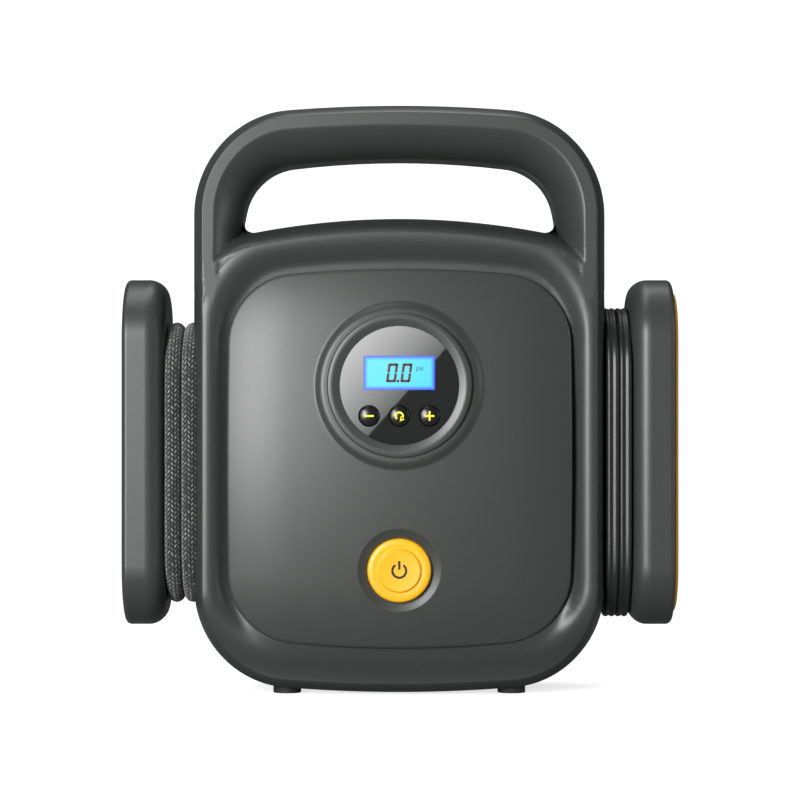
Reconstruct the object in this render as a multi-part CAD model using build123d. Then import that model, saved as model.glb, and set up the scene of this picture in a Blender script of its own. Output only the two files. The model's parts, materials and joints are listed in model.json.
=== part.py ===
from build123d import *
import math
import os

os.makedirs("parts", exist_ok=True)

# A 12 V tyre inflator with a carry handle. X runs to the right, the face looks along -Y, Z is up.
# The origin is on the ground under the middle of the housing. All sizes are in millimetres.

# ---- housing ----
body_width = 176.4
overall_height = 252.8
body_top = 204.3
foot_stand = 0.8
face_y = -28.0
split_y = -10.0
handle_rear_y = 18.0
waist_rear_y = 8.0             # from here back the handle rounds off
handle_roll = 8.0
opening_roll = 6.0
body_rear_y = 39.0
wall = 2.6
crown_radius = 600.0
shoulder_radius = 325.0
corner_low = 45.0
corner_handle = 47.0
corner_body = 31.0
rear_round = 10.0
fit = 0.1                    # clearance between pieces that only lie beside each other

# ---- handle opening ----
opening_half = 68.6
opening_lean = 0.09          # share by which the opening narrows towards its top
opening_height = 25.5
opening_crown = 380.0
grip_side_web = 7.0

# ---- front panel ----
panel_half = 71.6
panel_low = 21.2
panel_high = 182.0
panel_corner = 29.5
panel_apex_y = -36.0
panel_dome = 703.0
valley_y = -24.0
panel_seat_y = -22.5
ledge = 4.0
rim_inset = 5.8

# ---- read-out ----
gauge_z = 132.5
boss_radius = 35.5
bezel_radius = 30.5
bezel_rim_radius = 28.0
bezel_front_y = -39.0
lens_radius = 25.0
lens_front_y = -37.4
lens_thickness = 1.4
lens_seat = 1.5
lcd_z = 137.8
lcd_width = 34.0
lcd_height = 18.0
key_pitch = 12.7
key_z = 119.7
key_radius = 4.4
key_flange = 5.2
key_gap = 0.2
key_travel = 0.5
board_y = -25.0
board_thickness = 1.6
board_half = 28.0
board_post_radius = 2.5

# ---- power button ----
power_z = 54.6
power_radius = 13.5
power_recess = 17.5
power_gap = 0.35
power_travel = 1.5
power_front_y = -37.4
power_floor_y = -31.5

# ---- winding flanges and drums ----
wing_y = 5.0
wing_z = 103.8
wing_depth = 58.0
wing_height = 149.4
wing_corner = 0.448 * wing_depth
wing_thickness = 18.6
wing_wall = 3.0
wing_inner_round = 8.0
cover_thickness = 2.5
cover_round = 2.3
drum_z = 99.3
drum_wall = 3.0
hose_diameter = 7.0
hose_turns = 2
hose_recess = 2.2
hose_drum_half_height = 53.9
hose_drum_half_depth = 20.5
cord_width = 5.4
cord_thickness = 2.75
cord_layers = 5
cord_turns = 2
cord_drum_half_height = 53.5
cord_drum_half_depth = 13.75

# ---- storage lid ----
lid_inset = 5.5
lid_thickness = 3.3
lid_proud = 1.6
lid_gap = 0.25
lid_knuckle_radius = 1.5
lid_pin_radius = 0.7
lid_knuckle_length = 12.0

# ---- pump ----
pump_y = 9.0
motor_z = 62.0
motor_radius = 18.0
motor_length = 58.0
motor_face_x = 14.0
gear_module = 1.0
pinion_teeth = 12
gear_teeth = 48
gear_slack = 0.15
gear_width = 6.0
crank_radius = 7.0
rod_length = 49.0
rod_x = -14.0
piston_radius = 10.9
cylinder_radius = 14.0
cylinder_low = 124.0
cylinder_high = 156.0
running = 0.05               # radial clearance of a shaft in its hole

# ---- things on the hose and on the lead ----
chuck_from_face = 8.7
chuck_radius = 6.0
chuck_neck = 4.6
valve_bore_radius = 3.85
plug_from_side = 18.2
plug_y = 36.0
plug_radius = 10.4
plug_low = 112.0
pocket_gap = 0.3

half_width = body_width / 2
drum_x = half_width + hose_turns * hose_diameter - hose_recess + 0.3
wing_face_left = -drum_x
wing_face_right = half_width + cord_turns * (cord_width + 0.1)
wing_out_left = wing_face_left - wing_thickness + 0.6
wing_out_right = wing_face_right + wing_thickness
chuck_x = wing_face_left - chuck_from_face
plug_x = half_width - plug_from_side


def plate(sketch, front, rear):
    """A front-view outline made solid between two depths."""
    return extrude(Plane.XZ.offset(-rear) * sketch, amount=rear - front)


def slab(sketch, low, high):
    """A side-view outline made solid between two X values."""
    return extrude(Plane.YZ.offset(low) * sketch, amount=high - low)


def block(x, y, z):
    """A box from pairs of low and high values."""
    box = Box(x[1] - x[0], y[1] - y[0], z[1] - z[0])
    return Pos((x[0] + x[1]) / 2, (y[0] + y[1]) / 2, (z[0] + z[1]) / 2) * box


def rod_x_axis(radius, low, high, y, z):
    return slab(Pos(y, z) * Circle(radius), low, high)


def rod_y_axis(radius, front, rear, x, z):
    return plate(Pos(x, z) * Circle(radius), front, rear)


def rod_z_axis(radius, low, high, x, y):
    return Pos(x, y, (low + high) / 2) * Cylinder(radius, high - low)


def save(shape, node):
    export_step(shape, f"parts/{node}.step")


def crowned(half, low, high, corner_below, corner_above, crown_below, crown_above):
    """Straight sides, bowed top and bottom, rounded corners."""
    drop_low = crown_below - math.sqrt(crown_below**2 - half**2)
    drop_high = crown_above - math.sqrt(crown_above**2 - half**2)
    top = ThreePointArc((-half, high - drop_high), (0, high), (half, high - drop_high))
    right = Line((half, high - drop_high), (half, low + drop_low))
    bottom = ThreePointArc((half, low + drop_low), (0, low), (-half, low + drop_low))
    left = Line((-half, low + drop_low), (-half, high - drop_high))
    face = make_face(top + right + bottom + left)
    face = fillet(face.vertices().sort_by(Axis.Y)[2:], corner_above)
    return fillet(face.vertices().sort_by(Axis.Y)[:2], corner_below)


def full_outline(inset=0.0):
    """Housing with its handle, from the front."""
    return crowned(half_width - inset, foot_stand + inset, overall_height - inset,
                   corner_low - inset, corner_handle - inset, crown_radius - inset, crown_radius - inset)


def body_outline(inset=0.0):
    """Housing without its handle, from the front."""
    return crowned(half_width - inset, foot_stand + inset, body_top - inset,
                   corner_low - inset, corner_body - min(inset, rim_inset) * 0.5,
                   crown_radius - inset, shoulder_radius - inset)


def panel_outline(inset=0.0):
    return crowned(panel_half - inset, panel_low + inset, panel_high - inset,
                   panel_corner - inset, panel_corner - inset, crown_radius, crown_radius)


def opening(grow=0.0, sink=0.0):
    """The hand hole: its floor is the housing's crown, its sides lean in towards the top."""
    low_half = opening_half + grow
    high_half = low_half - opening_lean * opening_height * 2.4
    crest = body_top - sink
    low_end = crest - shoulder_radius + math.sqrt(shoulder_radius**2 - low_half**2)
    high = body_top + opening_height + grow
    high_end = high - opening_crown + math.sqrt(opening_crown**2 - high_half**2)
    top = ThreePointArc((-high_half, high_end), (0, high), (high_half, high_end))
    right = Line((high_half, high_end), (low_half, low_end))
    bottom = ThreePointArc((low_half, low_end), (0, crest), (-low_half, low_end))
    left = Line((-low_half, low_end), (-high_half, high_end))
    face = make_face(top + right + bottom + left)
    face = fillet(face.vertices().sort_by(Axis.Y)[2:], 24.0 + grow * 0.5)
    return fillet(face.vertices().sort_by(Axis.Y)[:2], 4.5 + grow * 0.3)


def stepped(sections):
    """Ruled skin through (sketch, depth) pairs, front to back."""
    return loft([Plane.XZ.offset(-depth) * sketch for sketch, depth in sections], ruled=True)


def rolled(outline, start, end, inset, steps=5):
    """Skin that rounds off by an inset between two depths, in straight steps."""
    angles = [math.pi / 2 * i / steps for i in range(steps + 1)]
    layers = [(outline(inset * (1 - math.cos(a))), start + (end - start) * math.sin(a)) for a in angles]
    return stepped(layers)


def stadium(half_height, half_depth):
    slot = SlotOverall(2 * half_height, 2 * half_depth, rotation=90)
    return Pos(wing_y, drum_z) * slot


def wing_outline(inset=0.0):
    shape = RectangleRounded(wing_depth - 2 * inset, wing_height - 2 * inset, wing_corner - inset)
    return Pos(wing_y, wing_z) * shape


def panel_dome_y(x, z, depth=0.0):
    """Depth of the panel's domed skin at a place on it."""
    middle = (panel_low + panel_high) / 2
    reach = math.hypot(x, z - middle)
    radius = panel_dome - depth
    return panel_apex_y + depth + radius - math.sqrt(radius**2 - reach**2)


# ---- shared tools for both housing halves ----
screw_places = [
    (-(half_width - 19), 27.0), (half_width - 19, 27.0),
    (-(half_width - 23), body_top - 21), (half_width - 23, body_top - 21),
]
handle_screw_z = overall_height - 10.5
handle_screw_places = [(-34.0, handle_screw_z - 1), (34.0, handle_screw_z - 1)]
boss_radius_screw = 4.5
screw_radius = 2.0
screw_head_radius = 3.6

hose_half_height = hose_drum_half_height + hose_diameter
hose_half_depth = hose_drum_half_depth + hose_diameter
recess_shape = stadium(hose_half_height + 1, hose_half_depth + 1)
hose_recess_cut = slab(recess_shape, -half_width - 1, -half_width + hose_recess)
recess_pad = slab(stadium(hose_half_height + 4, hose_half_depth + 4),
                  -half_width, -half_width + hose_recess + wall)
channel = full_outline(3.2) - opening(grip_side_web)
channel_void = plate(channel, split_y - 6, 6.0) & block((-200, 200), (-50, 50), (body_top + 3, 400))

# ---- front housing: rim, valley round the panel, front half of the handle ----
front_skin = stepped([
    (full_outline(5.7), face_y), (full_outline(4.0), face_y + 1), (full_outline(2.4), face_y + 4),
    (full_outline(0.9), face_y + 10), (full_outline(0), split_y)])
front_hole = stepped([
    (opening(13, 4.8), face_y - 0.01), (opening(7.5, 1.9), face_y + 4), (opening(2.6, 0.3), face_y + 12),
    (opening(0, 0), split_y)])
front_housing = front_skin - front_hole
valley = stepped([
    (crowned(half_width - rim_inset, foot_stand + rim_inset, body_top - 6.6, corner_low - rim_inset, 34.0,
             crown_radius, shoulder_radius), face_y - 0.01),
    (panel_outline(), valley_y)])
front_housing -= valley
front_housing -= plate(panel_outline(-fit), valley_y - 0.01, panel_seat_y)
front_housing -= plate(panel_outline(ledge), face_y, split_y)
front_void = plate(body_outline(rim_inset + wall), panel_seat_y + 2.5, split_y) - recess_pad
front_housing -= front_void
front_housing -= hose_recess_cut
front_housing -= channel_void
for x, z in screw_places + handle_screw_places:
    front_housing += rod_y_axis(boss_radius_screw, face_y + 8, split_y, x, z)
    front_housing -= rod_y_axis(screw_radius, face_y + 9, split_y, x, z)
save(front_housing, "front_housing")

# ---- main housing: rear shell, rear half of the handle ----
waist = plate(full_outline(), split_y, waist_rear_y) - plate(opening(), split_y, waist_rear_y)
handle_back = rolled(full_outline, waist_rear_y, handle_rear_y, handle_roll)
handle_back -= rolled(opening, waist_rear_y, handle_rear_y + 0.01, opening_roll)
rear_block = plate(body_outline(), waist_rear_y, body_rear_y)
rear_block = fillet(rear_block.faces().sort_by(Axis.Y)[-1].edges(), rear_round)
main_housing = waist + rear_block
main_housing += handle_back
rear_void = plate(body_outline(wall), split_y, body_rear_y - wall)
rear_void = fillet(rear_void.faces().sort_by(Axis.Y)[-1].edges(), rear_round - wall)
plug_pocket_radius = plug_radius + pocket_gap
pocket_wall = rod_z_axis(plug_pocket_radius + wall, 76.0, 190.0, plug_x, plug_y)
rear_void -= recess_pad
rear_void -= pocket_wall
main_housing -= rear_void
main_housing -= hose_recess_cut
main_housing -= channel_void
main_housing -= rod_z_axis(plug_pocket_radius, 98.0, 187.0, plug_x, plug_y)
main_housing -= rod_z_axis(6.0, 80.0, 99.0, plug_x, plug_y + 3.5)
for x, z in screw_places:
    main_housing += rod_y_axis(boss_radius_screw, split_y, body_rear_y - wall, x, z)
    main_housing -= rod_y_axis(screw_radius, split_y, body_rear_y, x, z)
    main_housing -= rod_y_axis(screw_head_radius, body_rear_y - 5, body_rear_y + 1, x, z)
for x, z in handle_screw_places:
    main_housing += rod_y_axis(boss_radius_screw, split_y, 12.0, x, z)
    main_housing -= rod_y_axis(screw_radius, split_y, handle_rear_y, x, z)
    main_housing -= rod_y_axis(screw_head_radius, handle_rear_y - 5, handle_rear_y + 1, x, z)
vent_count = 7
vent_pitch = 7.0
vent_slot = SlotOverall(44, 3.0)
for i in range(vent_count):
    vent_z = motor_z + (i - (vent_count - 1) / 2) * vent_pitch
    main_housing -= plate(Pos(-40, vent_z) * vent_slot, body_rear_y - 6, body_rear_y + 1)
elbow_y = 12.0
elbow_z = 125.0
elbow_radius = 4.0
main_housing -= rod_x_axis(elbow_radius, -half_width, -half_width + 8, elbow_y, elbow_z)
foot_radius = 6.0
foot_places = [(x, y) for x in (-half_width * 0.55, half_width * 0.55) for y in (-3.0, 29.0)]
foot_top = foot_stand + (half_width * 0.55) ** 2 / (2 * crown_radius) + 1.6
for x, y in foot_places:
    foot_seat = rod_z_axis(foot_radius + 1.5, foot_top - 1, foot_top + 1.6, x, y)
    main_housing += foot_seat & plate(body_outline(1.0), split_y, body_rear_y - 1)
    main_housing -= rod_z_axis(foot_radius, -1, foot_top, x, y)
mount_places = [(22.0, 50.0), (38.0, 74.0), (-20.0, 132.0), (-9.0, 144.0)]
for x, z in mount_places:
    main_housing -= rod_y_axis(1.5, body_rear_y - wall - 1, body_rear_y - 1.0, x, z)
save(main_housing, "main_housing")

feet = Compound([rod_z_axis(foot_radius, 0, foot_top, x, y) for x, y in foot_places])
save(feet, "rubber_feet")


def screw_along_y(x, z, head_y, tip_y):
    """Pan-head screw driven from the rear."""
    head = rod_y_axis(screw_head_radius - 0.1, head_y, head_y + 2.4, x, z)
    shank = rod_y_axis(screw_radius, tip_y, head_y, x, z)
    socket = plate(Pos(x, z) * RegularPolygon(1.5, 6), head_y + 1.0, head_y + 2.4)
    return head + shank - socket


screws = [screw_along_y(x, z, body_rear_y - 5, face_y + 10) for x, z in screw_places]
screws += [screw_along_y(x, z, handle_rear_y - 5, face_y + 10) for x, z in handle_screw_places]
save(Compound(screws), "housing_screws")

# ---- front panel: domed plate with the read-out boss and the power button well ----
panel_mid_z = (panel_low + panel_high) / 2
dome_ball = Pos(0, panel_apex_y + panel_dome, panel_mid_z) * Sphere(panel_dome)
inner_ball = Pos(0, panel_apex_y + panel_dome, panel_mid_z) * Sphere(panel_dome - wall)
front_panel = plate(panel_outline(), panel_apex_y - 2, panel_seat_y) & dome_ball
front_panel = fillet(front_panel.faces().sort_by(Axis.Y)[0].edges(), 4.0)
front_panel -= plate(panel_outline(wall), panel_apex_y, panel_seat_y) & inner_ball
boss_front_y = panel_apex_y - 1.7
front_panel += Pos(0, (boss_front_y + valley_y) / 2 - 2, gauge_z) * Rot(90, 0, 0) * Cone(
    boss_radius, bezel_radius + fit, (valley_y - boss_front_y) / 2) & plate(
    Pos(0, gauge_z) * Circle(boss_radius + 5), boss_front_y - 1, panel_dome_y(0, gauge_z) + 1)
front_panel += rod_y_axis(power_recess + 1.5, power_floor_y - 1, power_floor_y + 1.6, 0, power_z)
front_panel -= Pos(0, power_floor_y - 4, power_z) * Rot(90, 0, 0) * Cone(
    power_radius + 1, power_radius + 1 + 8 * (power_recess - power_radius - 1) / 3.0, 8)
front_panel -= rod_y_axis(power_radius + power_gap, panel_apex_y - 4, power_floor_y + 3, 0, power_z)
front_panel -= rod_y_axis(bezel_radius + fit, boss_front_y - 2, boss_front_y + 1.2, 0, gauge_z)
skirt_radius = 27.0
front_panel -= rod_y_axis(skirt_radius + fit, boss_front_y - 2, panel_seat_y, 0, gauge_z)
board_low = power_z - 16
board_high = gauge_z + 32
post_places = [(x, z) for x in (-(board_half - 4), board_half - 4) for z in (board_low + 4, board_high - 4)]
for x, z in post_places:
    front_panel += rod_y_axis(board_post_radius, panel_dome_y(x, z, wall) - 0.5, board_y, x, z)
save(front_panel, "front_panel")

# ---- read-out ----
profile = Polyline([
    (bezel_radius, boss_front_y + 1.2), (bezel_radius, bezel_front_y + 0.9),
    (bezel_radius - 0.9, bezel_front_y), (bezel_rim_radius, bezel_front_y),
    (lens_radius + running, lens_front_y), (lens_radius + running, lens_front_y + lens_thickness),
    (lens_radius - lens_seat, lens_front_y + lens_thickness), (lens_radius - lens_seat, -33.5),
    (skirt_radius, -33.5), (skirt_radius, boss_front_y + 1.2)], close=True)
ring_face = make_face(profile)
gauge_bezel = Pos(0, 0, gauge_z) * revolve(ring_face, Axis.Y)
save(gauge_bezel, "gauge_bezel")

lens_back_y = lens_front_y + lens_thickness
lens = rod_y_axis(lens_radius, lens_front_y, lens_back_y, 0, gauge_z)
key_places = {"minus": -key_pitch, "mode": 0.0, "plus": key_pitch}
for x in key_places.values():
    lens -= rod_y_axis(key_radius + key_gap, lens_front_y - 1, lens_back_y + 1, x, key_z)
save(lens, "display_lens")

lcd = block((-lcd_width / 2, lcd_width / 2), (lens_back_y, board_y),
            (lcd_z - lcd_height / 2, lcd_z + lcd_height / 2))
save(lcd, "lcd_module")

key_back_y = lens_back_y + 1.3
switches = []
for name, x in key_places.items():
    dome = Pos(x, lens_front_y + 8.0, key_z) * Sphere(9.2)
    cap = rod_y_axis(key_radius, lens_front_y - 1.4, lens_back_y + 0.1, x, key_z) & dome
    flange = rod_y_axis(key_flange, lens_back_y + 0.1, key_back_y, x, key_z)
    save(cap + flange, f"button_{name}")
    switches.append(rod_y_axis(2.2, key_back_y + key_travel + 0.1, board_y, x, key_z))
power_back_y = power_floor_y + 1.6 + 0.1 + 1.0
switches.append(rod_y_axis(3.0, power_back_y + power_travel + 0.1, board_y, 0, power_z))
save(Compound(switches), "button_switches")

board = block((-board_half, board_half), (board_y, board_y + board_thickness), (board_low, board_high))
save(board, "control_board")
sensor_x = 14.0
sensor_z = 150.0
sensor_y = board_y + board_thickness
sensor = block((sensor_x - 5, sensor_x + 5), (sensor_y, sensor_y + 4), (sensor_z - 5, sensor_z + 5))
sensor += rod_y_axis(1.6, sensor_y + 4, sensor_y + 8, sensor_x, sensor_z)
save(sensor, "pressure_sensor")

# ---- power button: stepped cap with a dished centre ----
power = rod_y_axis(power_radius, power_front_y + 1.2, power_floor_y + 1.7, 0, power_z)
power = fillet(power.faces().sort_by(Axis.Y)[0].edges(), 1.6)
power += rod_y_axis(power_radius * 0.66, power_front_y, power_floor_y, 0, power_z)
power -= Pos(0, power_front_y - 59.6, power_z) * Sphere(60)
power += rod_y_axis(power_radius + 1.5, power_floor_y + 1.7, power_back_y, 0, power_z)
save(power, "power_button")

# ---- left winding flange ----
hose_drum = stadium(hose_drum_half_height, hose_drum_half_depth)
hose_drum_inner = stadium(hose_drum_half_height - drum_wall, hose_drum_half_depth - drum_wall)
recess_floor = -half_width + hose_recess
left_shell_x = wing_out_left + cover_thickness
left_wing = slab(wing_outline(), left_shell_x, wing_face_left)
left_wing = fillet(left_wing.faces().sort_by(Axis.X)[-1].edges(), wing_inner_round)
left_wing -= slab(wing_outline(wing_wall), left_shell_x, wing_face_left - wing_wall) & block(
    (-300, 0), (-100, 19.0), (-10, 400))
left_wing += slab(hose_drum - hose_drum_inner, wing_face_left, recess_floor)
left_wing -= slab(hose_drum_inner, wing_face_left - wing_wall - 1, recess_floor)
hose_run_y = wing_y + hose_drum_half_depth + hose_diameter / 2
dock_half = chuck_radius + 0.3
wing_rear_y = wing_y + wing_depth / 2
wing_top = wing_z + wing_height / 2
left_wing -= block((chuck_x - dock_half, chuck_x + dock_half), (hose_run_y - dock_half, wing_rear_y + 1),
                   (88.0, wing_top + 1))
left_wing -= block((chuck_x, wing_face_left + 1), (hose_run_y - 4.0, wing_rear_y + 1), (60.0, 118.0))
outer_run_x = recess_floor - hose_diameter * (hose_turns - 0.5) - fit
inner_run_x = recess_floor - hose_diameter / 2 - fit
drum_rear_y = wing_y + hose_drum_half_depth
left_wing -= rod_y_axis(elbow_radius + 0.05, drum_rear_y - 5, drum_rear_y + 1, inner_run_x - 1.2, elbow_z)
save(left_wing, "left_spool")
left_cover = slab(wing_outline(), wing_out_left, left_shell_x)
left_cover = fillet(left_cover.faces().sort_by(Axis.X)[0].edges(), cover_round)
save(left_cover, "left_spool_cover")

# ---- hose: two turns side by side, then a tail into the dock of the flange ----
hose_coil = slab(stadium(hose_half_height, hose_half_depth) - hose_drum,
                 wing_face_left + fit, recess_floor - fit)
save(hose_coil, "hose_coil")
hose_elbow_x = inner_run_x - 1.2
elbow = rod_x_axis(elbow_radius, hose_elbow_x - elbow_radius, -half_width + 8, elbow_y, elbow_z)
elbow += rod_y_axis(elbow_radius, elbow_y, drum_rear_y, hose_elbow_x, elbow_z)
elbow -= rod_y_axis(2.0, elbow_y, drum_rear_y, hose_elbow_x, elbow_z)
elbow -= rod_x_axis(2.0, hose_elbow_x, -half_width + 8, elbow_y, elbow_z)
save(elbow, "hose_elbow")


def tube(points, radius, name):
    """Straight runs with the largest tangent arcs that the runs allow."""
    route = [Vector(*p) for p in points]
    radii = []
    for before, here, after in zip(route, route[1:], route[2:]):
        turn = math.radians((here - before).get_angle(after - here))
        run = min((here - before).length, (after - here).length)
        radii.append(0.45 * run / math.tan(turn / 2))
    print(name, "bend radii", [round(r, 1) for r in radii])
    path = FilletPolyline(*points, radius=radii)
    start = Plane(origin=points[0], z_dir=path % 0)
    return sweep(start * Circle(radius), path=path)


hose_tail_points = [
    (outer_run_x, hose_run_y, 60.0),
    (outer_run_x, hose_run_y, 76.0),
    (chuck_x, hose_run_y, 108.0),
    (chuck_x, hose_run_y, 126.0),
]
save(tube(hose_tail_points, hose_diameter / 2, "hose tail"), "hose_tail")
ferrule = rod_z_axis(4.8, 126, 136, chuck_x, hose_run_y)
save(ferrule, "hose_ferrule")
chuck = rod_z_axis(5.4, 136, 146, chuck_x, hose_run_y)
chuck += rod_z_axis(chuck_neck, 146, 158, chuck_x, hose_run_y)
chuck -= rod_z_axis(1.5, 136, 159, chuck_x, hose_run_y)
save(chuck, "chuck_body")
collar = rod_z_axis(chuck_radius, 146.2, 168, chuck_x, hose_run_y)
for i in range(18):
    angle = math.radians(i * 20)
    groove_x = chuck_x + chuck_radius * math.cos(angle)
    groove_y = hose_run_y + chuck_radius * math.sin(angle)
    collar -= rod_z_axis(0.45, 149, 166, groove_x, groove_y)
collar -= rod_z_axis(chuck_neck + running, 146, 158.3, chuck_x, hose_run_y)
collar -= rod_z_axis(valve_bore_radius, 158, 169, chuck_x, hose_run_y)
save(collar, "chuck_collar")

# ---- right winding flange with its compartment ----
cord_drum = stadium(cord_drum_half_height, cord_drum_half_depth)
cord_drum_inner = stadium(cord_drum_half_height - drum_wall, cord_drum_half_depth - drum_wall)
right_wing = slab(wing_outline(), wing_face_right, wing_out_right)
right_wing = fillet(right_wing.faces().sort_by(Axis.X)[0].edges(), wing_inner_round)
right_wing = fillet(right_wing.faces().sort_by(Axis.X)[-1].edges(), cover_round)
lid_floor_x = wing_out_right + lid_proud - lid_thickness
compartment_x = wing_face_right + wing_wall
right_wing -= slab(wing_outline(lid_inset - lid_gap), lid_floor_x, wing_out_right + 1)
right_wing -= slab(wing_outline(lid_inset + 2.5), compartment_x, wing_out_right)
right_wing += slab(cord_drum - cord_drum_inner, half_width, wing_face_right + 0.5)
hinge_x = wing_out_right + lid_knuckle_radius + 0.1
hinge_y = wing_rear_y - lid_inset + 1.6
hinge_levels = [wing_z - 36.0, wing_z + 36.0]
for z in hinge_levels:
    for side in (-1, 1):
        low = z + side * (lid_knuckle_length + 0.2) - lid_knuckle_length / 2
        right_wing += rod_z_axis(lid_knuckle_radius, low, low + lid_knuckle_length, hinge_x, hinge_y)
        right_wing += block((wing_out_right - 0.5, hinge_x), (hinge_y - 0.2, hinge_y + lid_knuckle_radius),
                            (low, low + lid_knuckle_length))
        right_wing -= rod_z_axis(lid_pin_radius, low - 1, low + lid_knuckle_length + 1, hinge_x, hinge_y)
cord_rear_y = wing_y + cord_drum_half_depth
cord_far_x = wing_face_right - cord_width / 2 - 0.05
cord_near_x = half_width + cord_width / 2 + 0.05
right_wing -= rod_y_axis(2.5, cord_rear_y - 6, cord_rear_y + 1, cord_far_x, elbow_z)
save(right_wing, "right_spool")

lid = slab(wing_outline(lid_inset), lid_floor_x, wing_out_right + lid_proud)
lid = fillet(lid.faces().sort_by(Axis.X)[-1].edges(), 1.2)
lid_rear_y = wing_rear_y - lid_inset
for z in hinge_levels:
    low = z - lid_knuckle_length / 2
    lid += rod_z_axis(lid_knuckle_radius, low, low + lid_knuckle_length, hinge_x, hinge_y)
    lid += block((wing_out_right + 0.2, hinge_x), (lid_rear_y - 1, hinge_y), (low, low + lid_knuckle_length))
    lid -= rod_z_axis(lid_pin_radius + running, low - 1, low + lid_knuckle_length + 1, hinge_x, hinge_y)
save(lid, "storage_lid")
pin_reach = 1.5 * lid_knuckle_length + 0.2
lid_pins = [rod_z_axis(lid_pin_radius, z - pin_reach, z + pin_reach, hinge_x, hinge_y) for z in hinge_levels]
save(Compound(lid_pins), "lid_hinge_pins")

# ---- nozzle adapters kept behind the lid ----
adapter_x = (compartment_x + lid_floor_x) / 2
holder = block((compartment_x, lid_floor_x - 2), (-10.0, 20.0), (62.0, 74.0))
adapter_places = [-4.0, 5.0, 14.0]
for y in adapter_places:
    holder -= rod_z_axis(3.0, 65.0, 75.0, adapter_x, y)
save(holder, "adapter_holder")
needle = rod_z_axis(3.0, 65, 80, adapter_x, adapter_places[0])
needle += rod_z_axis(0.9, 80, 108, adapter_x, adapter_places[0])
save(needle, "ball_needle")
screw_adapter = rod_z_axis(3.0, 65, 76, adapter_x, adapter_places[1])
screw_adapter += rod_z_axis(3.8, 76, 84, adapter_x, adapter_places[1])
save(screw_adapter, "valve_adapter")
cone = rod_z_axis(3.0, 65, 76, adapter_x, adapter_places[2])
cone += Pos(adapter_x, adapter_places[2], 88) * Cone(4.0, 1.8, 24)
save(cone, "cone_adapter")

# ---- power lead: twin lead wound in layers, its tail goes to the plug on the back ----
cord_half_height = cord_drum_half_height + cord_layers * cord_thickness
cord_half_depth = cord_drum_half_depth + cord_layers * cord_thickness
cord_ring = stadium(cord_half_height, cord_half_depth) - cord_drum
cord_coil = slab(cord_ring, half_width + fit, wing_face_right - fit)
save(cord_coil, "cord_coil")
gland = rod_y_axis(2.5, cord_rear_y - 6, cord_rear_y, cord_far_x, elbow_z)
gland += rod_y_axis(3.2, cord_rear_y - 6, cord_rear_y - drum_wall, cord_far_x - 1.2, elbow_z)
save(gland, "cord_gland")
cord_run_y = wing_y + cord_half_depth - cord_thickness / 2
cord_tail_points = [
    (cord_near_x, cord_run_y, 52.0),
    (cord_near_x, cord_run_y + 0.6, 63.0),
    (cord_near_x - 2.4, cord_run_y + 7.6, 74.0),
    (cord_near_x - 10.5, cord_run_y + 11.6, 85.0),
    (plug_x + 1.5, plug_y + 4.6, 95.0),
    (plug_x, plug_y, 106.0),
]
save(tube(cord_tail_points, 1.9, "lead tail"), "cord_tail")
boot = Pos(plug_x, plug_y, plug_low - 3) * Cone(3.4, 5.2, 6)
save(boot, "plug_boot")
plug_body = rod_z_axis(plug_radius, plug_low, plug_low + 30, plug_x, plug_y)
plug_body = fillet(plug_body.faces().sort_by(Axis.Z)[0].edges(), 3.0)
nose_radius = plug_radius - 0.9
nose_high = plug_low + 56
plug_body += rod_z_axis(nose_radius, plug_low + 30, nose_high, plug_x, plug_y)
contact_low = nose_high - 16
contact_high = nose_high - 8
contact_slot = 0.2
slot_cut = block((plug_x - 12, plug_x + 12), (plug_y - 2 - contact_slot, plug_y + 2 + contact_slot),
                 (contact_low - contact_slot, contact_high + contact_slot))
slot_cut -= block((plug_x - 5, plug_x + 5), (plug_y - 5, plug_y + 5), (contact_low - 5, contact_high + 5))
plug_body -= slot_cut
tip_radius = 2.6
plug_body -= rod_z_axis(tip_radius + running, nose_high - 9, nose_high + 1, plug_x, plug_y)
save(plug_body, "plug_body")
ring = rod_z_axis(nose_radius - 0.8, nose_high, nose_high + 4, plug_x, plug_y)
ring = fillet(ring.faces().sort_by(Axis.Z)[-1].edges(), 1.4)
ring -= rod_z_axis(tip_radius + running, nose_high - 1, nose_high + 5, plug_x, plug_y)
save(ring, "plug_nose_ring")
tip_travel = 4.0
tip = rod_z_axis(tip_radius, nose_high - 4, nose_high + 8, plug_x, plug_y)
tip += Pos(plug_x, plug_y, nose_high + 8) * (Sphere(tip_radius))
save(tip, "plug_tip")
contact_travel = 1.0
for name, side in (("left", -1), ("right", 1)):
    inner = plug_x + side * (5 + contact_travel + 0.2)
    outer = plug_x + side * (nose_radius + contact_travel)
    contact = block(sorted((inner, outer)), (plug_y - 2, plug_y + 2), (contact_low, contact_high))
    save(contact, f"plug_contact_{name}")

# ---- pump: motor, gears, crank, piston and cylinder ----
gear_z = motor_z + gear_module * (pinion_teeth + gear_teeth) / 2 + gear_slack
motor_rear_x = motor_face_x + motor_length
motor_can = rod_x_axis(motor_radius, motor_face_x, motor_rear_x - 6, pump_y, motor_z)
motor_can -= rod_x_axis(motor_radius - 1.5, motor_face_x + 2, motor_rear_x - 5, pump_y, motor_z)
shaft_radius = 2.0
motor_can -= rod_x_axis(shaft_radius + running, motor_face_x - 1, motor_face_x + 3, pump_y, motor_z)
save(motor_can, "motor_can")
end_cap = rod_x_axis(motor_radius, motor_rear_x - 6, motor_rear_x, pump_y, motor_z)
end_cap -= rod_x_axis(motor_radius - 3, motor_rear_x - 7, motor_rear_x - 3, pump_y, motor_z)
end_cap -= rod_x_axis(shaft_radius + running, motor_rear_x - 4, motor_rear_x + 1, pump_y, motor_z)
save(end_cap, "motor_end_cap")
frame_x = 10.0
gear_low_x = 2.0
gear_high_x = gear_low_x + gear_width
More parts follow.
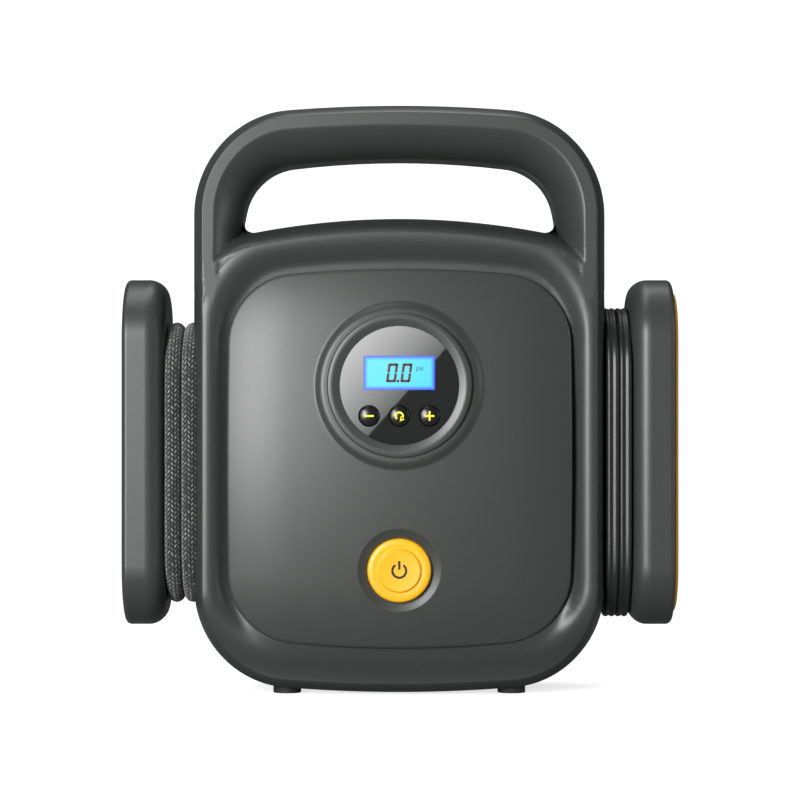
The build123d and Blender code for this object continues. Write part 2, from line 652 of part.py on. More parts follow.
fan_low_x = motor_rear_x + 1.5
save(rod_x_axis(shaft_radius, gear_low_x, fan_low_x + 6, pump_y, motor_z), "motor_shaft")
core = Pos(pump_y, motor_z) * Circle(motor_radius - 4)
for i in range(6):
    core -= Pos(pump_y, motor_z) * Rot(0, 0, i * 60) * Pos(motor_radius - 5, 0) * SlotOverall(7, 3.2)
core -= Pos(pump_y, motor_z) * Circle(shaft_radius)
save(slab(core, motor_face_x + 8, motor_rear_x - 12), "armature")
fan = Pos(pump_y, motor_z) * Circle(5)
for i in range(7):
    fan += Pos(pump_y, motor_z) * Rot(0, 0, i * 360 / 7) * Pos(9.5, 0) * Rot(0, 0, 14) * Rectangle(11.5, 1.6)
fan -= Pos(pump_y, motor_z) * Circle(shaft_radius)
save(slab(fan, fan_low_x, fan_low_x + 6), "cooling_fan")


def gear_face(teeth, bore, tooth_first):
    """Involute spur gear outline, a tooth or a gap pointing along +Y of its own sketch."""
    pressure = math.radians(20)
    pitch_r = gear_module * teeth / 2
    base_r = pitch_r * math.cos(pressure)
    tip_r = pitch_r + 0.85 * gear_module
    root_r = pitch_r - 1.3 * gear_module
    slack_angle = 0.1 / pitch_r
    involute = math.tan(pressure) - pressure
    half_tooth = math.pi / (2 * teeth) - slack_angle / 2 + involute
    flank = []
    start_r = max(base_r, root_r + 0.05)
    for i in range(5):
        r = start_r + (tip_r - start_r) * i / 4
        a = math.acos(min(1.0, base_r / r))
        flank.append((r, half_tooth - (math.tan(a) - a)))
    points = []
    offset = 0 if tooth_first else math.pi / teeth
    for i in range(teeth):
        middle = math.pi / 2 + offset + i * 2 * math.pi / teeth
        side = [(root_r, half_tooth)] + flank
        for r, a in side:
            points.append((r * math.cos(middle - a), r * math.sin(middle - a)))
        for r, a in reversed(side):
            points.append((r * math.cos(middle + a), r * math.sin(middle + a)))
    return make_face(Polyline(points, close=True)) - Circle(bore)


pinion = Pos(pump_y, motor_z) * gear_face(pinion_teeth, shaft_radius, True)
save(slab(pinion, gear_low_x, gear_high_x), "pinion")
axle_radius = 3.0
gear = Pos(pump_y, gear_z) * gear_face(gear_teeth, axle_radius + running, gear_teeth % 4 == 2)
for i in range(5):
    gear -= Pos(pump_y, gear_z) * Rot(0, 0, i * 72 + 36) * Pos(13.5, 0) * Circle(5)
save(slab(gear, gear_low_x, gear_high_x), "drive_gear")
crank_low_x = gear_low_x - 4
web = Pos(pump_y, gear_z) * Circle(9) + Pos(pump_y, gear_z - crank_radius) * Circle(4.5)
web += (Pos(pump_y, gear_z) * Circle(17)) & (Pos(pump_y, gear_z + 14) * Rectangle(40, 20))
web -= Pos(pump_y, gear_z) * Circle(axle_radius + running)
rod_half = 4.0
crank = slab(web, crank_low_x, gear_low_x)
pin_end_x = rod_x + rod_half + 0.3
crank += rod_x_axis(2.5, pin_end_x, crank_low_x, pump_y, gear_z - crank_radius)
save(crank, "crank")
axle = rod_x_axis(axle_radius, crank_low_x + 0.5, frame_x + 4, pump_y, gear_z)
save(axle, "gear_axle")

eye_z = gear_z - crank_radius
piston_z = eye_z + rod_length
rod = Pos(pump_y, eye_z) * Circle(6) + Pos(pump_y, (eye_z + piston_z) / 2) * Rectangle(5, rod_length)
rod -= Pos(pump_y, eye_z) * Circle(2.6)
piston_rod = slab(rod, rod_x - rod_half, rod_x + rod_half)
piston_rod += rod_z_axis(piston_radius - 0.7, piston_z - 2, piston_z + 3, rod_x, pump_y)
save(piston_rod, "piston_rod")
bore_radius = piston_radius + running
seal = rod_z_axis(piston_radius, piston_z - 1, piston_z + 2, rod_x, pump_y)
seal -= rod_z_axis(piston_radius - 0.7, piston_z - 2, piston_z + 4, rod_x, pump_y)
save(seal, "piston_seal")
cylinder = rod_z_axis(cylinder_radius, cylinder_low, cylinder_high, rod_x, pump_y)
cylinder -= rod_z_axis(bore_radius, cylinder_low - 1, cylinder_high + 1, rod_x, pump_y)
save(cylinder, "cylinder")
head_half = 15.0
plate_sketch = RectangleRounded(2 * head_half, 2 * head_half, 4)
head_screw_places = [(rod_x + a * 11.8, pump_y + b * 11.8) for a in (-1, 1) for b in (-1, 1)]


def head_layer(low, high):
    layer = Pos(rod_x, pump_y, low) * extrude(plate_sketch, amount=high - low)
    for x, y in head_screw_places:
        layer -= rod_z_axis(1.5, low - 1, high + 1, x, y)
    return layer


valve_high = cylinder_high + 1.5
gasket_high = valve_high + 0.8
head_high = gasket_high + 11
save(head_layer(cylinder_high, valve_high), "valve_plate")
save(head_layer(valve_high, gasket_high), "head_gasket")
head = head_layer(gasket_high, head_high)
for i in range(3):
    fin_x = rod_x + (i - 1) * 6
    head -= block((fin_x - 1, fin_x + 1), (pump_y - 20, pump_y + 20), (head_high - 4, head_high + 1))
port_z = gasket_high + 3.5
head += rod_x_axis(3.0, rod_x - head_half - 5, rod_x - head_half, pump_y, port_z)
head += rod_y_axis(1.8, pump_y - head_half - 4, pump_y - head_half, rod_x + 6, port_z)
save(head, "cylinder_head")
head_screws = []
for x, y in head_screw_places:
    screw = rod_z_axis(1.5, cylinder_high, head_high, x, y)
    screw += rod_z_axis(2.6, head_high, head_high + 2, x, y)
    head_screws.append(screw)
save(Compound(head_screws), "head_screws")

shelf_low = cylinder_low - 4
foot_front_y = 28.0
mount_face_y = body_rear_y - wall
frame = block((frame_x, motor_face_x), (pump_y - 20, foot_front_y + 3), (motor_z - 20, cylinder_low))
frame += block((rod_x - 15, motor_face_x), (pump_y - 15, foot_front_y + 3), (shelf_low, cylinder_low))
frame += block((motor_face_x - 1, 46), (foot_front_y, foot_front_y + 3), (motor_z - 18, motor_z + 18))
frame += block((rod_x - 12, rod_x + 11), (foot_front_y, foot_front_y + 3), (shelf_low, cylinder_low + 26))
frame -= rod_z_axis(bore_radius, shelf_low - 1, cylinder_low + 1, rod_x, pump_y)
frame -= rod_x_axis(axle_radius, frame_x - 1, motor_face_x + 1, pump_y, gear_z)
frame -= rod_x_axis(8.5, frame_x - 1, motor_face_x + 1, pump_y, motor_z)
for x, z in mount_places:
    frame -= rod_y_axis(1.5, foot_front_y - 1, foot_front_y + 4, x, z)
save(frame, "gearbox_frame")
mounts = []
pump_screws = []
for x, z in mount_places:
    mount = rod_y_axis(5.0, foot_front_y + 3, mount_face_y, x, z)
    mounts.append(mount - rod_y_axis(1.5, foot_front_y, mount_face_y + 1, x, z))
    screw = rod_y_axis(1.5, foot_front_y, mount_face_y + 1, x, z)
    pump_screws.append(screw + rod_y_axis(2.8, foot_front_y - 2, foot_front_y, x, z))
save(Compound(mounts), "pump_mounts")
save(Compound(pump_screws), "pump_screws")

outlet_points = [
    (rod_x - head_half - 5, pump_y, port_z),
    (rod_x - head_half - 18, pump_y + 0.5, port_z - 2),
    (rod_x - head_half - 30, elbow_y - 1, elbow_z + 8),
    (-half_width + 8, elbow_y, elbow_z),
]
save(tube(outlet_points, 3.0, "outlet tube"), "outlet_tube")
sensor_points = [
    (sensor_x, sensor_y + 8, sensor_z),
    (sensor_x - 2, sensor_y + 10.5, sensor_z + 5),
    (rod_x + 8, pump_y - head_half - 6.5, port_z - 1),
    (rod_x + 6, pump_y - head_half - 4, port_z),
]
save(tube(sensor_points, 1.3, "sensor tube"), "sensor_tube")
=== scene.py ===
import json
import math

import bmesh
import bpy
import numpy as np
from mathutils import Matrix, Vector
from mathutils.geometry import delaunay_2d_cdt


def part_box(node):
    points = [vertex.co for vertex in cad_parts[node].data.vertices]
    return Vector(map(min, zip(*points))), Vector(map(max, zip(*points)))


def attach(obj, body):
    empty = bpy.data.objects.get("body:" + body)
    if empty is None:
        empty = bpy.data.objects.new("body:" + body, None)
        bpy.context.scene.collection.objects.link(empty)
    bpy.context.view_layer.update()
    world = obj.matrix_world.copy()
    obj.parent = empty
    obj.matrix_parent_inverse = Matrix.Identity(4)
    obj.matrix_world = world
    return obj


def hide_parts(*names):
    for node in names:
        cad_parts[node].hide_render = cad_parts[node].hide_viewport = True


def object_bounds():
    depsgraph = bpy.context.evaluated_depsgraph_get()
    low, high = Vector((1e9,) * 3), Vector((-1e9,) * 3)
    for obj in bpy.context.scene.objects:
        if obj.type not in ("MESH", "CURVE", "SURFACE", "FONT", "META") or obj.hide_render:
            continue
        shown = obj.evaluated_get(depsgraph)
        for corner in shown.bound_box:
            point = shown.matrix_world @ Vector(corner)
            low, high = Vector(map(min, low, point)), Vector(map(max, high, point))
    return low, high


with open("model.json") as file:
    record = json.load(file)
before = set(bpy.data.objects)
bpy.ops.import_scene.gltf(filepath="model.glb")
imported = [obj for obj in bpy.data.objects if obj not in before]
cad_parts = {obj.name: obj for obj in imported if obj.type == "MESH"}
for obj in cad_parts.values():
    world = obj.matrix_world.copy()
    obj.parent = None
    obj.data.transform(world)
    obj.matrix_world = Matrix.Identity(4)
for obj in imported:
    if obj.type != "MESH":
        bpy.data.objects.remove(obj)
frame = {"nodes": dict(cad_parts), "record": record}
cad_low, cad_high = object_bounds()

# ---- camera ----
# A long lens looks level at the middle of the face from a little over a metre, so the sides stay
# nearly parallel.
scene = bpy.context.scene
face_height = (cad_low.z + cad_high.z) / 2
camera_data = bpy.data.cameras.new("camera")
camera_data.lens = 119.2
camera_data.sensor_width = 36.0
camera_data.clip_start = 0.05
camera = bpy.data.objects.new("camera", camera_data)
camera.location = (0.0003, -1.15, face_height)
camera.rotation_euler = (math.radians(90), 0, 0)
scene.collection.objects.link(camera)
scene.camera = camera
scene.view_settings.view_transform = "Standard"

# ---- materials for the lead and the hose ----
# The lead is twin PVC wire, extruded, with a soft satin skin. The hose is a rubber tube in a sleeve of
# woven dark polyester yarns, two sets crossing at a steep angle; each stitch's crown has a painted highlight
# of random strength.
MM = 0.001


def srgb(code):
    """A '#rrggbb' colour as linear values."""
    parts = [int(code[i:i + 2], 16) / 255 for i in (1, 3, 5)]
    return tuple(c / 12.92 if c <= 0.04045 else ((c + 0.055) / 1.055) ** 2.4 for c in parts) + (1.0,)


def node(tree, kind, inputs=None, **settings):
    """Adds a node. Each input is a value, or (node, output) for a link."""
    made = tree.nodes.new("ShaderNode" + kind)
    for name, value in settings.items():
        setattr(made, name, value)
    for name, value in (inputs or {}).items():
        socket = made.inputs[name]
        if isinstance(value, tuple) and len(value) == 2 and hasattr(value[0], "outputs"):
            tree.links.new(value[0].outputs[value[1]], socket)
        else:
            socket.default_value = value
    return made


def material(name, colour, roughness, **values):
    """A new principled material with its constant values set on the shader's own sockets."""
    made = bpy.data.materials.new(name)
    made.use_nodes = True
    shader = made.node_tree.nodes["Principled BSDF"]
    shader.inputs["Base Color"].default_value = srgb(colour)
    shader.inputs["Roughness"].default_value = roughness
    for key, value in values.items():
        shader.inputs[key.replace("_", " ")].default_value = value
    return made


def grain(mat, size_mm, height_mm, colour_a, colour_b, detail=3.0):
    """Fine moulded texture: a noise of the given grain size, in the bump and faintly in the colour."""
    tree = mat.node_tree
    shader = tree.nodes["Principled BSDF"]
    place = node(tree, "TexCoord")
    speck = node(tree, "TexNoise", {"Vector": (place, "Object"), "Scale": 1 / (size_mm * MM),
                                    "Detail": detail})
    ramp = node(tree, "ValToRGB", {"Fac": (speck, "Fac")})
    ramp.color_ramp.elements[0].position = 0.3
    ramp.color_ramp.elements[0].color = srgb(colour_a)
    ramp.color_ramp.elements[1].position = 0.7
    ramp.color_ramp.elements[1].color = srgb(colour_b)
    bump = node(tree, "Bump", {"Height": (speck, "Fac"), "Distance": height_mm * MM, "Strength": 1.0})
    tree.links.new(ramp.outputs["Color"], shader.inputs["Base Color"])
    tree.links.new(bump.outputs["Normal"], shader.inputs["Normal"])
    return mat


lead_skin = grain(material("extruded_pvc", "#1e1f1f", 0.38), 1.5, 0.02, "#1c1d1d", "#212222")

braid = material("polyester_braid", "#1c1e1d", 0.62, Sheen_Weight=0.25, Sheen_Roughness=0.5)
braid_tree = braid.node_tree
braid_columns = 14                   # plaits round the hose
braid_pitch = 2.0 * MM               # one stitch of a plait
braid_lean = 0.7                     # how far a stitch slants across its plait
column_shift = 0.37                  # how far each plait starts after the one beside it


def sums(kind, first, second=0.0, third=0.0):
    """A Math node of the braid. Each operand is a number or (node, output)."""
    return (node(braid_tree, "Math", {0: first, 1: second, 2: third}, operation=kind), 0)


braid_uv = node(braid_tree, "UVMap", uv_map="along")
braid_split = node(braid_tree, "SeparateXYZ", {"Vector": (braid_uv, "UV")})
columns = sums("MULTIPLY", (braid_split, "X"), braid_columns)
column = sums("FLOOR", columns)
across = sums("SUBTRACT", sums("FRACT", columns), 0.5)
parity = sums("MODULO", column, 2.0)
hand = sums("MULTIPLY_ADD", parity, 2.0, -1.0)
lean = sums("MULTIPLY", sums("MULTIPLY", across, hand), braid_lean)
stitches = sums("MULTIPLY_ADD", (braid_split, "Y"), 1 / braid_pitch, lean)
stitch = sums("FRACT", sums("MULTIPLY_ADD", column, column_shift, stitches))
stitch_id = sums("FLOOR", sums("MULTIPLY_ADD", column, column_shift, stitches))
from_middle = sums("ABSOLUTE", sums("MULTIPLY_ADD", stitch, 2.0, -1.0))
crown_along = sums("SUBTRACT", 1.0, from_middle)
from_ridge = sums("ABSOLUTE", sums("MULTIPLY", across, 2.0))
crown_across = sums("SUBTRACT", 1.0, sums("POWER", from_ridge, 2.0))
yarn_height = sums("POWER", sums("MULTIPLY", crown_along, crown_across), 0.6)
cell = node(braid_tree, "CombineXYZ", {"X": column, "Y": stitch_id})
chance = node(braid_tree, "TexWhiteNoise", {"Vector": (cell, 0)}, noise_dimensions="2D")
# Painted highlight: the crown of each stitch is mixed towards pale grey, by a random amount per stitch.
crown_highlight_mask = node(braid_tree, "MapRange", {"Value": yarn_height, "From Min": 0.55, "From Max": 0.85},
             interpolation_type="SMOOTHSTEP")
pale = node(braid_tree, "MapRange", {"Value": (chance, "Value"), "From Min": -0.1, "From Max": 1.0})
painted_crown_highlight = sums("MULTIPLY", (crown_highlight_mask, "Result"), (pale, "Result"))
braid_colour = node(braid_tree, "MixRGB", {"Fac": painted_crown_highlight, "Color1": srgb("#1b1d1c"),
                                           "Color2": srgb("#999e9a")})
braid_tree.links.new(braid_colour.outputs[0], braid_tree.nodes["Principled BSDF"].inputs["Base Color"])
braid_bump = node(braid_tree, "Bump", {"Height": yarn_height, "Distance": 0.5 * MM, "Strength": 1.0})
braid_tree.links.new(braid_bump.outputs["Normal"], braid_tree.nodes["Principled BSDF"].inputs["Normal"])

# ---- air hose ----
# A 7 mm braided hose, about 0.6 m long. It comes out of the left drum, makes two turns side by side and
# ends in a brass chuck that lies in the dock at the back of the flange.


def link(name, mesh):
    """A new object with this data, in the scene."""
    made = bpy.data.objects.new(name, mesh)
    scene.collection.objects.link(made)
    return made


def route_line(points, steps):
    """Points along a smooth spline that has these control points."""
    curve = bpy.data.curves.new("route", "CURVE")
    curve.dimensions = "3D"
    spline = curve.splines.new("NURBS")
    spline.points.add(len(points) - 1)
    for place, point in zip(spline.points, points):
        place.co = (*point, 1.0)
    spline.order_u = 3
    spline.use_endpoint_u = True
    spline.resolution_u = steps
    holder = link("route", curve)
    bpy.context.view_layer.update()
    line = bpy.data.meshes.new_from_object(holder.evaluated_get(bpy.context.evaluated_depsgraph_get()))
    found = np.array([v.co for v in line.vertices])
    bpy.data.objects.remove(holder)
    bpy.data.curves.remove(curve)
    bpy.data.meshes.remove(line)
    return found


def tube_mesh(name, line, section, width=(1.0, 0.0, 0.0)):
    """Sweeps a section (pairs along the width and along the normal) down a line, with UVs along it."""
    ahead = np.gradient(line, axis=0)
    ahead /= np.linalg.norm(ahead, axis=1)[:, None]
    side = np.tile(np.array(width), (len(line), 1))
    side -= (side * ahead).sum(1)[:, None] * ahead
    side /= np.linalg.norm(side, axis=1)[:, None]
    up = np.cross(ahead, side)
    section = np.array(section)
    count = len(section)
    verts = (line[:, None, :] + section[None, :, 0, None] * side[:, None, :]
             + section[None, :, 1, None] * up[:, None, :])
    travel = np.concatenate([[0], np.cumsum(np.linalg.norm(np.diff(line, axis=0), axis=1))])
    faces = []
    corners = []
    for i in range(len(line) - 1):
        for j in range(count):
            after = (j + 1) % count
            faces.append((i * count + j, i * count + after, (i + 1) * count + after, (i + 1) * count + j))
            corners += [(j / count, travel[i]), ((j + 1) / count, travel[i]),
                        ((j + 1) / count, travel[i + 1]), (j / count, travel[i + 1])]
    last = (len(line) - 1) * count
    faces.append(tuple(range(count - 1, -1, -1)))
    faces.append(tuple(range(last, last + count)))
    corners += [(0.0, 0.0)] * (2 * count)
    mesh = bpy.data.meshes.new(name)
    mesh.from_pydata(verts.reshape(-1, 3).tolist(), [], faces)
    layer = mesh.uv_layers.new(name="along")
    layer.data.foreach_set("uv", np.array(corners, float).ravel())
    mesh.shade_smooth()
    return mesh, float(travel[-1])


def circle_section(radius, count):
    """Points round a circle, as pairs along the width and along the normal."""
    return [(radius * math.cos(2 * math.pi * j / count), radius * math.sin(2 * math.pi * j / count))
            for j in range(count)]


def turn_points(x_start, x_end, radius_start, radius_end, straight, middle):
    """One turn round a drum: up the back run, over the top, down the front run, under the bottom.
    The change to the next place is made in the back run."""
    points = []
    arc_steps = 8
    shares = (0.0, 1 / 3, 2 / 3, 1.0)
    swell = 1 / math.cos(math.pi / arc_steps / 2) ** 2
    for share in shares:
        x = x_start + (x_end - x_start) * share
        radius = radius_start + (radius_end - radius_start) * share
        points.append((x, middle[0] + radius, middle[1] - straight + 2 * straight * share))
    for half in (0, 1):
        for i in range(1, arc_steps):
            angle = math.pi * (half + i / arc_steps)
            rise = straight if half == 0 else -straight
            reach = radius_end * (1 + (swell - 1) * 0.5)
            points.append((x_end, middle[0] + reach * math.cos(angle),
                           middle[1] + rise + reach * math.sin(angle)))
        if half == 0:
            for share in shares:
                points.append((x_end, middle[0] - radius_end, middle[1] + straight - 2 * straight * share))
    return points


hose_low, hose_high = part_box("hose_coil")
hose_radius = 3.5 * MM
hose_middle = ((hose_low.y + hose_high.y) / 2, (hose_low.z + hose_high.z) / 2)
hose_turn_radius = (hose_high.y - hose_low.y) / 2 - hose_radius
hose_straight = (hose_high.z - hose_low.z) / 2 - (hose_high.y - hose_low.y) / 2
inner_x = hose_high.x - hose_radius
outer_x = hose_low.x + hose_radius
back_y = hose_middle[0] + hose_turn_radius
ferrule_low, ferrule_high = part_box("hose_ferrule")
chuck_x = (ferrule_low.x + ferrule_high.x) / 2
hose_exit = (inner_x, back_y - hose_radius - 0.5 * MM, hose_middle[1] + 8 * MM)
hose_points = [hose_exit, (inner_x, back_y - 2 * MM, hose_middle[1] + 20 * MM)]
first_turn = turn_points(inner_x, inner_x, hose_turn_radius, hose_turn_radius, hose_straight, hose_middle)
hose_points += first_turn[3:]
hose_points += turn_points(inner_x, outer_x, hose_turn_radius, hose_turn_radius, hose_straight, hose_middle)
hose_points += [
    (outer_x, back_y, 66 * MM),
    (outer_x, back_y, 76 * MM),
    (chuck_x, back_y, 108 * MM),
    (chuck_x, back_y, ferrule_low.z),
]
hose_line = route_line(hose_points, 6)
hose_mesh, hose_length = tube_mesh("air_hose", hose_line, circle_section(hose_radius, 20))
hose = link("air_hose", hose_mesh)
hose.data.materials.append(braid)
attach(hose, "inflator")
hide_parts("hose_coil", "hose_tail")

# ---- power lead ----
# A flat twin lead, 5.4 by 2.7 mm and close to 3 m long, wound on the right drum in five layers of two
# turns. Its tail goes round the back edge to the 12 V plug.
coil_low, coil_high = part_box("cord_coil")
lobe = 1.35 * MM                     # radius of one core
lead_width = 4 * lobe
layer_step = 2.75 * MM
layer_count = 5
lead_middle = ((coil_low.y + coil_high.y) / 2, (coil_low.z + coil_high.z) / 2)
outer_turn = (coil_high.y - coil_low.y) / 2 - layer_step / 2
lead_straight = (coil_high.z - coil_low.z) / 2 - (coil_high.y - coil_low.y) / 2
near_x = coil_low.x + lead_width / 2
far_x = coil_high.x - lead_width / 2
first_radius = outer_turn - (layer_count - 1) * layer_step
places = []
for layer in range(layer_count):
    pair = (far_x, near_x) if layer % 2 == 0 else (near_x, far_x)
    places += [(pair[0], first_radius + layer * layer_step), (pair[1], first_radius + layer * layer_step)]
lead_exit = (far_x, lead_middle[0] + first_radius, 125 * MM)
lead_points = [lead_exit, (far_x, lead_middle[0] + first_radius, 132 * MM)]
before = places[0]
for place in places:
    turn = turn_points(before[0], place[0], before[1], place[1], lead_straight, lead_middle)
    lead_points += turn if len(lead_points) > 2 else turn[3:]
    before = place
boot_low, boot_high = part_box("plug_boot")
plug_x = (boot_low.x + boot_high.x) / 2
plug_y = (boot_low.y + boot_high.y) / 2
tail_y = lead_middle[0] + outer_turn
lead_points += [
    (near_x, tail_y, 60.5 * MM),
    (near_x - 0.2 * MM, tail_y + 2.0 * MM, 67.0 * MM),
    (near_x - 2.0 * MM, tail_y + 8.4 * MM, 75.0 * MM),
    (near_x - 10.5 * MM, tail_y + 11.8 * MM, 85.0 * MM),
    (plug_x + 1.5 * MM, plug_y + 5.0 * MM, 95.0 * MM),
    (plug_x, plug_y, boot_low.z),
]
lead_line = route_line(lead_points, 4)
lead_section = []
core_steps = 9
core_turn = 35                       # degrees between the points round a core
for side_sign in (1, -1):
    for i in range(core_steps):
        start_degrees = -140 if side_sign > 0 else 40
        angle = math.radians(start_degrees + core_turn * i)
        lead_section.append((side_sign * lobe + lobe * math.cos(angle), lobe * math.sin(angle)))
lead_mesh, lead_length = tube_mesh("power_lead", lead_line, lead_section)
lead = link("power_lead", lead_mesh)
lead.data.materials.append(lead_skin)
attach(lead, "inflator")
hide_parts("cord_coil", "cord_tail")
print("hose length", round(hose_length, 4), "lead length", round(lead_length, 4))

# ---- stage ----
# A pale sheet that runs from under the object up behind it, a big soft light from the upper left, a
# weaker one from the right, and a soft panel behind the camera whose edge shows in the glossy lens.
sweep_radius = 0.6
sweep_start = 1.2                    # how far behind the object the sheet turns up
sweep_points = []
for i in range(25):
    angle = math.radians(90 * i / 24)
    sweep_points.append((sweep_start + sweep_radius * math.sin(angle),
                         sweep_radius - sweep_radius * math.cos(angle)))
profile = [(-3.0, 0.0)] + sweep_points + [(sweep_start + sweep_radius, 3.0)]
backdrop_mesh = bpy.data.meshes.new("backdrop")
backdrop_verts = [(x, y, z) for y, z in profile for x in (-4.0, 4.0)]
backdrop_faces = [(2 * i, 2 * i + 1, 2 * i + 3, 2 * i + 2) for i in range(len(profile) - 1)]
backdrop_mesh.from_pydata(backdrop_verts, [], backdrop_faces)
backdrop_mesh.shade_smooth()
backdrop = link("backdrop", backdrop_mesh)
paper = material("pale_paper", "#f4f4f4", 0.9, Emission_Color=(1.0, 1.0, 1.0, 1.0))
paper_tree = paper.node_tree
seen = node(paper_tree, "LightPath")
paper_glow = node(paper_tree, "Math", {0: (seen, "Is Camera Ray"), 1: 0.72}, operation="MULTIPLY")
paper_tint = node(paper_tree, "MixRGB", {"Fac": (seen, "Is Camera Ray"), "Color1": srgb("#8a8a8a"),
                                        "Color2": srgb("#f4f4f4")})
paper_tree.links.new(paper_glow.outputs[0], paper_tree.nodes["Principled BSDF"].inputs["Emission Strength"])
paper_tree.links.new(paper_tint.outputs[0], paper_tree.nodes["Principled BSDF"].inputs["Base Color"])
backdrop.data.materials.append(paper)

world = bpy.data.worlds.new("soft_room")
world.use_nodes = True
world.node_tree.nodes["Background"].inputs["Color"].default_value = (1.0, 1.0, 1.0, 1.0)
world.node_tree.nodes["Background"].inputs["Strength"].default_value = 0.14
scene.world = world


def area_light(name, place, target, size, power):
    """A rectangular soft light at a place, turned to a target, with its width and height in metres."""
    data = bpy.data.lights.new(name, "AREA")
    data.shape = "RECTANGLE"
    data.size, data.size_y = size
    data.energy = power
    made = bpy.data.objects.new(name, data)
    direction = Vector(target) - Vector(place)
    made.matrix_world = Matrix.Translation(place) @ direction.to_track_quat("-Z", "Y").to_matrix().to_4x4()
    scene.collection.objects.link(made)
    return made


lit_point = (0, 0, 0.12)
area_light("key_left", (-0.62, -1.35, 0.3), lit_point, (0.4, 0.9), 33)
area_light("fill_right", (1.3, -0.35, 0.3), lit_point, (0.4, 1.0), 4)
area_light("top_soft", (-0.15, 0.12, 1.3), lit_point, (1.2, 0.5), 7)
card_slant = math.radians(48.5)
card_place = Vector((0.001, -1.42, face_height + 0.001))
card_width, card_height = 0.17, 0.07
card_normal = Vector((-math.sin(card_slant), 0, math.cos(card_slant)))
card_middle = card_place + card_normal * (card_height / 2)
card_power = 0.55
card = area_light("lens_card", card_middle, card_place, (card_width, card_height), card_power)
card.matrix_world = (Matrix.Translation(card_middle) @ Matrix.Rotation(-card_slant, 4, "Y")
                     @ Matrix.Rotation(math.radians(90), 4, "X"))
card.data.use_nodes = True
card_tree = card.data.node_tree
card_spot = node(card_tree, "NewGeometry")
card_axes = node(card_tree, "SeparateXYZ", {"Vector": (card_spot, "Parametric")})
card_fade = node(card_tree, "MapRange", {"Value": (card_axes, "Y"), "To Min": 0.22, "To Max": 1.0})
card_tree.links.new(card_fade.outputs["Result"], card_tree.nodes["Emission"].inputs["Strength"])

# ---- front housing ----
# Injection-moulded ABS with a fine spark-eroded texture: the front half of the handle, the rim and the
# valley round the panel in one piece. The rim rolls back to the parting line at the sides.
moulded = grain(material("moulded_abs_charcoal", "#353836", 0.39), 0.55, 0.016, "#323533", "#393c3a", 5.0)


def contour(corners, radii, step):
    """Closed outline: bowed or straight edges between corners, with round corners. Each corner is (x, z, bow)
    where bow is how far the middle of the edge that follows it stands out."""
    count = len(corners)
    edges = []
    for i in range(count):
        a = np.array(corners[i][:2])
        b = np.array(corners[(i + 1) % count][:2])
        along = (b - a) / np.linalg.norm(b - a)
        out = np.array((along[1], -along[0]))
        t = np.linspace(0, 1, 400)[:, None]
        edges.append(a + (b - a) * t + out * corners[i][2] * 4 * t * (1 - t))
    turns = []
    for i in range(count):
        ahead_in = edges[i - 1][-1] - edges[i - 1][-2]
        ahead_out = edges[i][1] - edges[i][0]
        cosine = ahead_in @ ahead_out / np.linalg.norm(ahead_in) / np.linalg.norm(ahead_out)
        turns.append(math.acos(max(-1.0, min(1.0, cosine))))
    trims = [radius * math.tan(turn / 2) for radius, turn in zip(radii, turns)]
    path = []
    for i in range(count):
        here, after = edges[i], edges[(i + 1) % count]
        after_trim = trims[(i + 1) % count]
        spans = np.linalg.norm(here - here[0], axis=1)
        spans_back = np.linalg.norm(here - here[-1], axis=1)
        path.append(here[(spans >= trims[i]) & (spans_back >= after_trim)])
        start = path[-1][-1]
        start_dir = path[-1][-1] - path[-1][-2]
        start_dir /= np.linalg.norm(start_dir)
        index = int(np.argmax(np.linalg.norm(after - after[0], axis=1) >= after_trim))
        end = after[index]
        end_dir = after[index + 1] - after[index]
        end_dir /= np.linalg.norm(end_dir)
        reach = radii[(i + 1) % count] * 4 / 3 * math.tan(turns[(i + 1) % count] / 4)
        t = np.linspace(0, 1, 40)[1:-1, None]
        path.append((1 - t) ** 3 * start + 3 * (1 - t) ** 2 * t * (start + start_dir * reach)
                    + 3 * (1 - t) * t**2 * (end - end_dir * reach) + t**3 * end)
    dense = np.concatenate(path)
    closed = np.vstack([dense, dense[:1]])
    run = np.concatenate([[0], np.cumsum(np.linalg.norm(np.diff(closed, axis=0), axis=1))])
    amount = int(run[-1] / step)
    wanted = np.linspace(0, run[-1], amount, endpoint=False)
    return np.stack([np.interp(wanted, run, closed[:, k]) for k in (0, 1)], axis=1)


def inside(points, loop):
    """Which points lie inside a closed loop."""
    x, z = points[:, 0][:, None], points[:, 1][:, None]
    a, b = loop, np.roll(loop, -1, axis=0)
    spans = (a[:, 1] > z) != (b[:, 1] > z)
    rise = np.where(b[:, 1] == a[:, 1], 1e-12, b[:, 1] - a[:, 1])
    cross = x < (b[:, 0] - a[:, 0]) * (z - a[:, 1]) / rise + a[:, 0]
    return (np.count_nonzero(spans & cross, axis=1) % 2).astype(bool)


def depth_in(points, loop):
    """Distance to a loop, positive inside it."""
    best = np.full(len(points), 1e9)
    a = loop
    d = np.roll(loop, -1, axis=0) - a
    size = (d**2).sum(1)
    for k in range(0, len(points), 4000):
        p = points[k:k + 4000, None, :] - a[None]
        t = np.clip((p * d).sum(2) / size, 0, 1)
        best[k:k + 4000] = np.sqrt(((p - t[:, :, None] * d) ** 2).sum(2)).min(1)
    return np.where(inside(points, loop), best, -best)


def offset_loop(loop, amount):
    """A loop moved inwards by an amount, or outwards where it is negative."""
    tangent = np.roll(loop, -1, axis=0) - np.roll(loop, 1, axis=0)
    tangent /= np.linalg.norm(tangent, axis=1)[:, None]
    inward = np.stack([-tangent[:, 1], tangent[:, 0]], axis=1)
    centre = loop.mean(axis=0)
    if ((centre - loop) * inward).sum() < 0:
        inward = -inward
    return loop + inward * np.reshape(amount, (-1, 1))


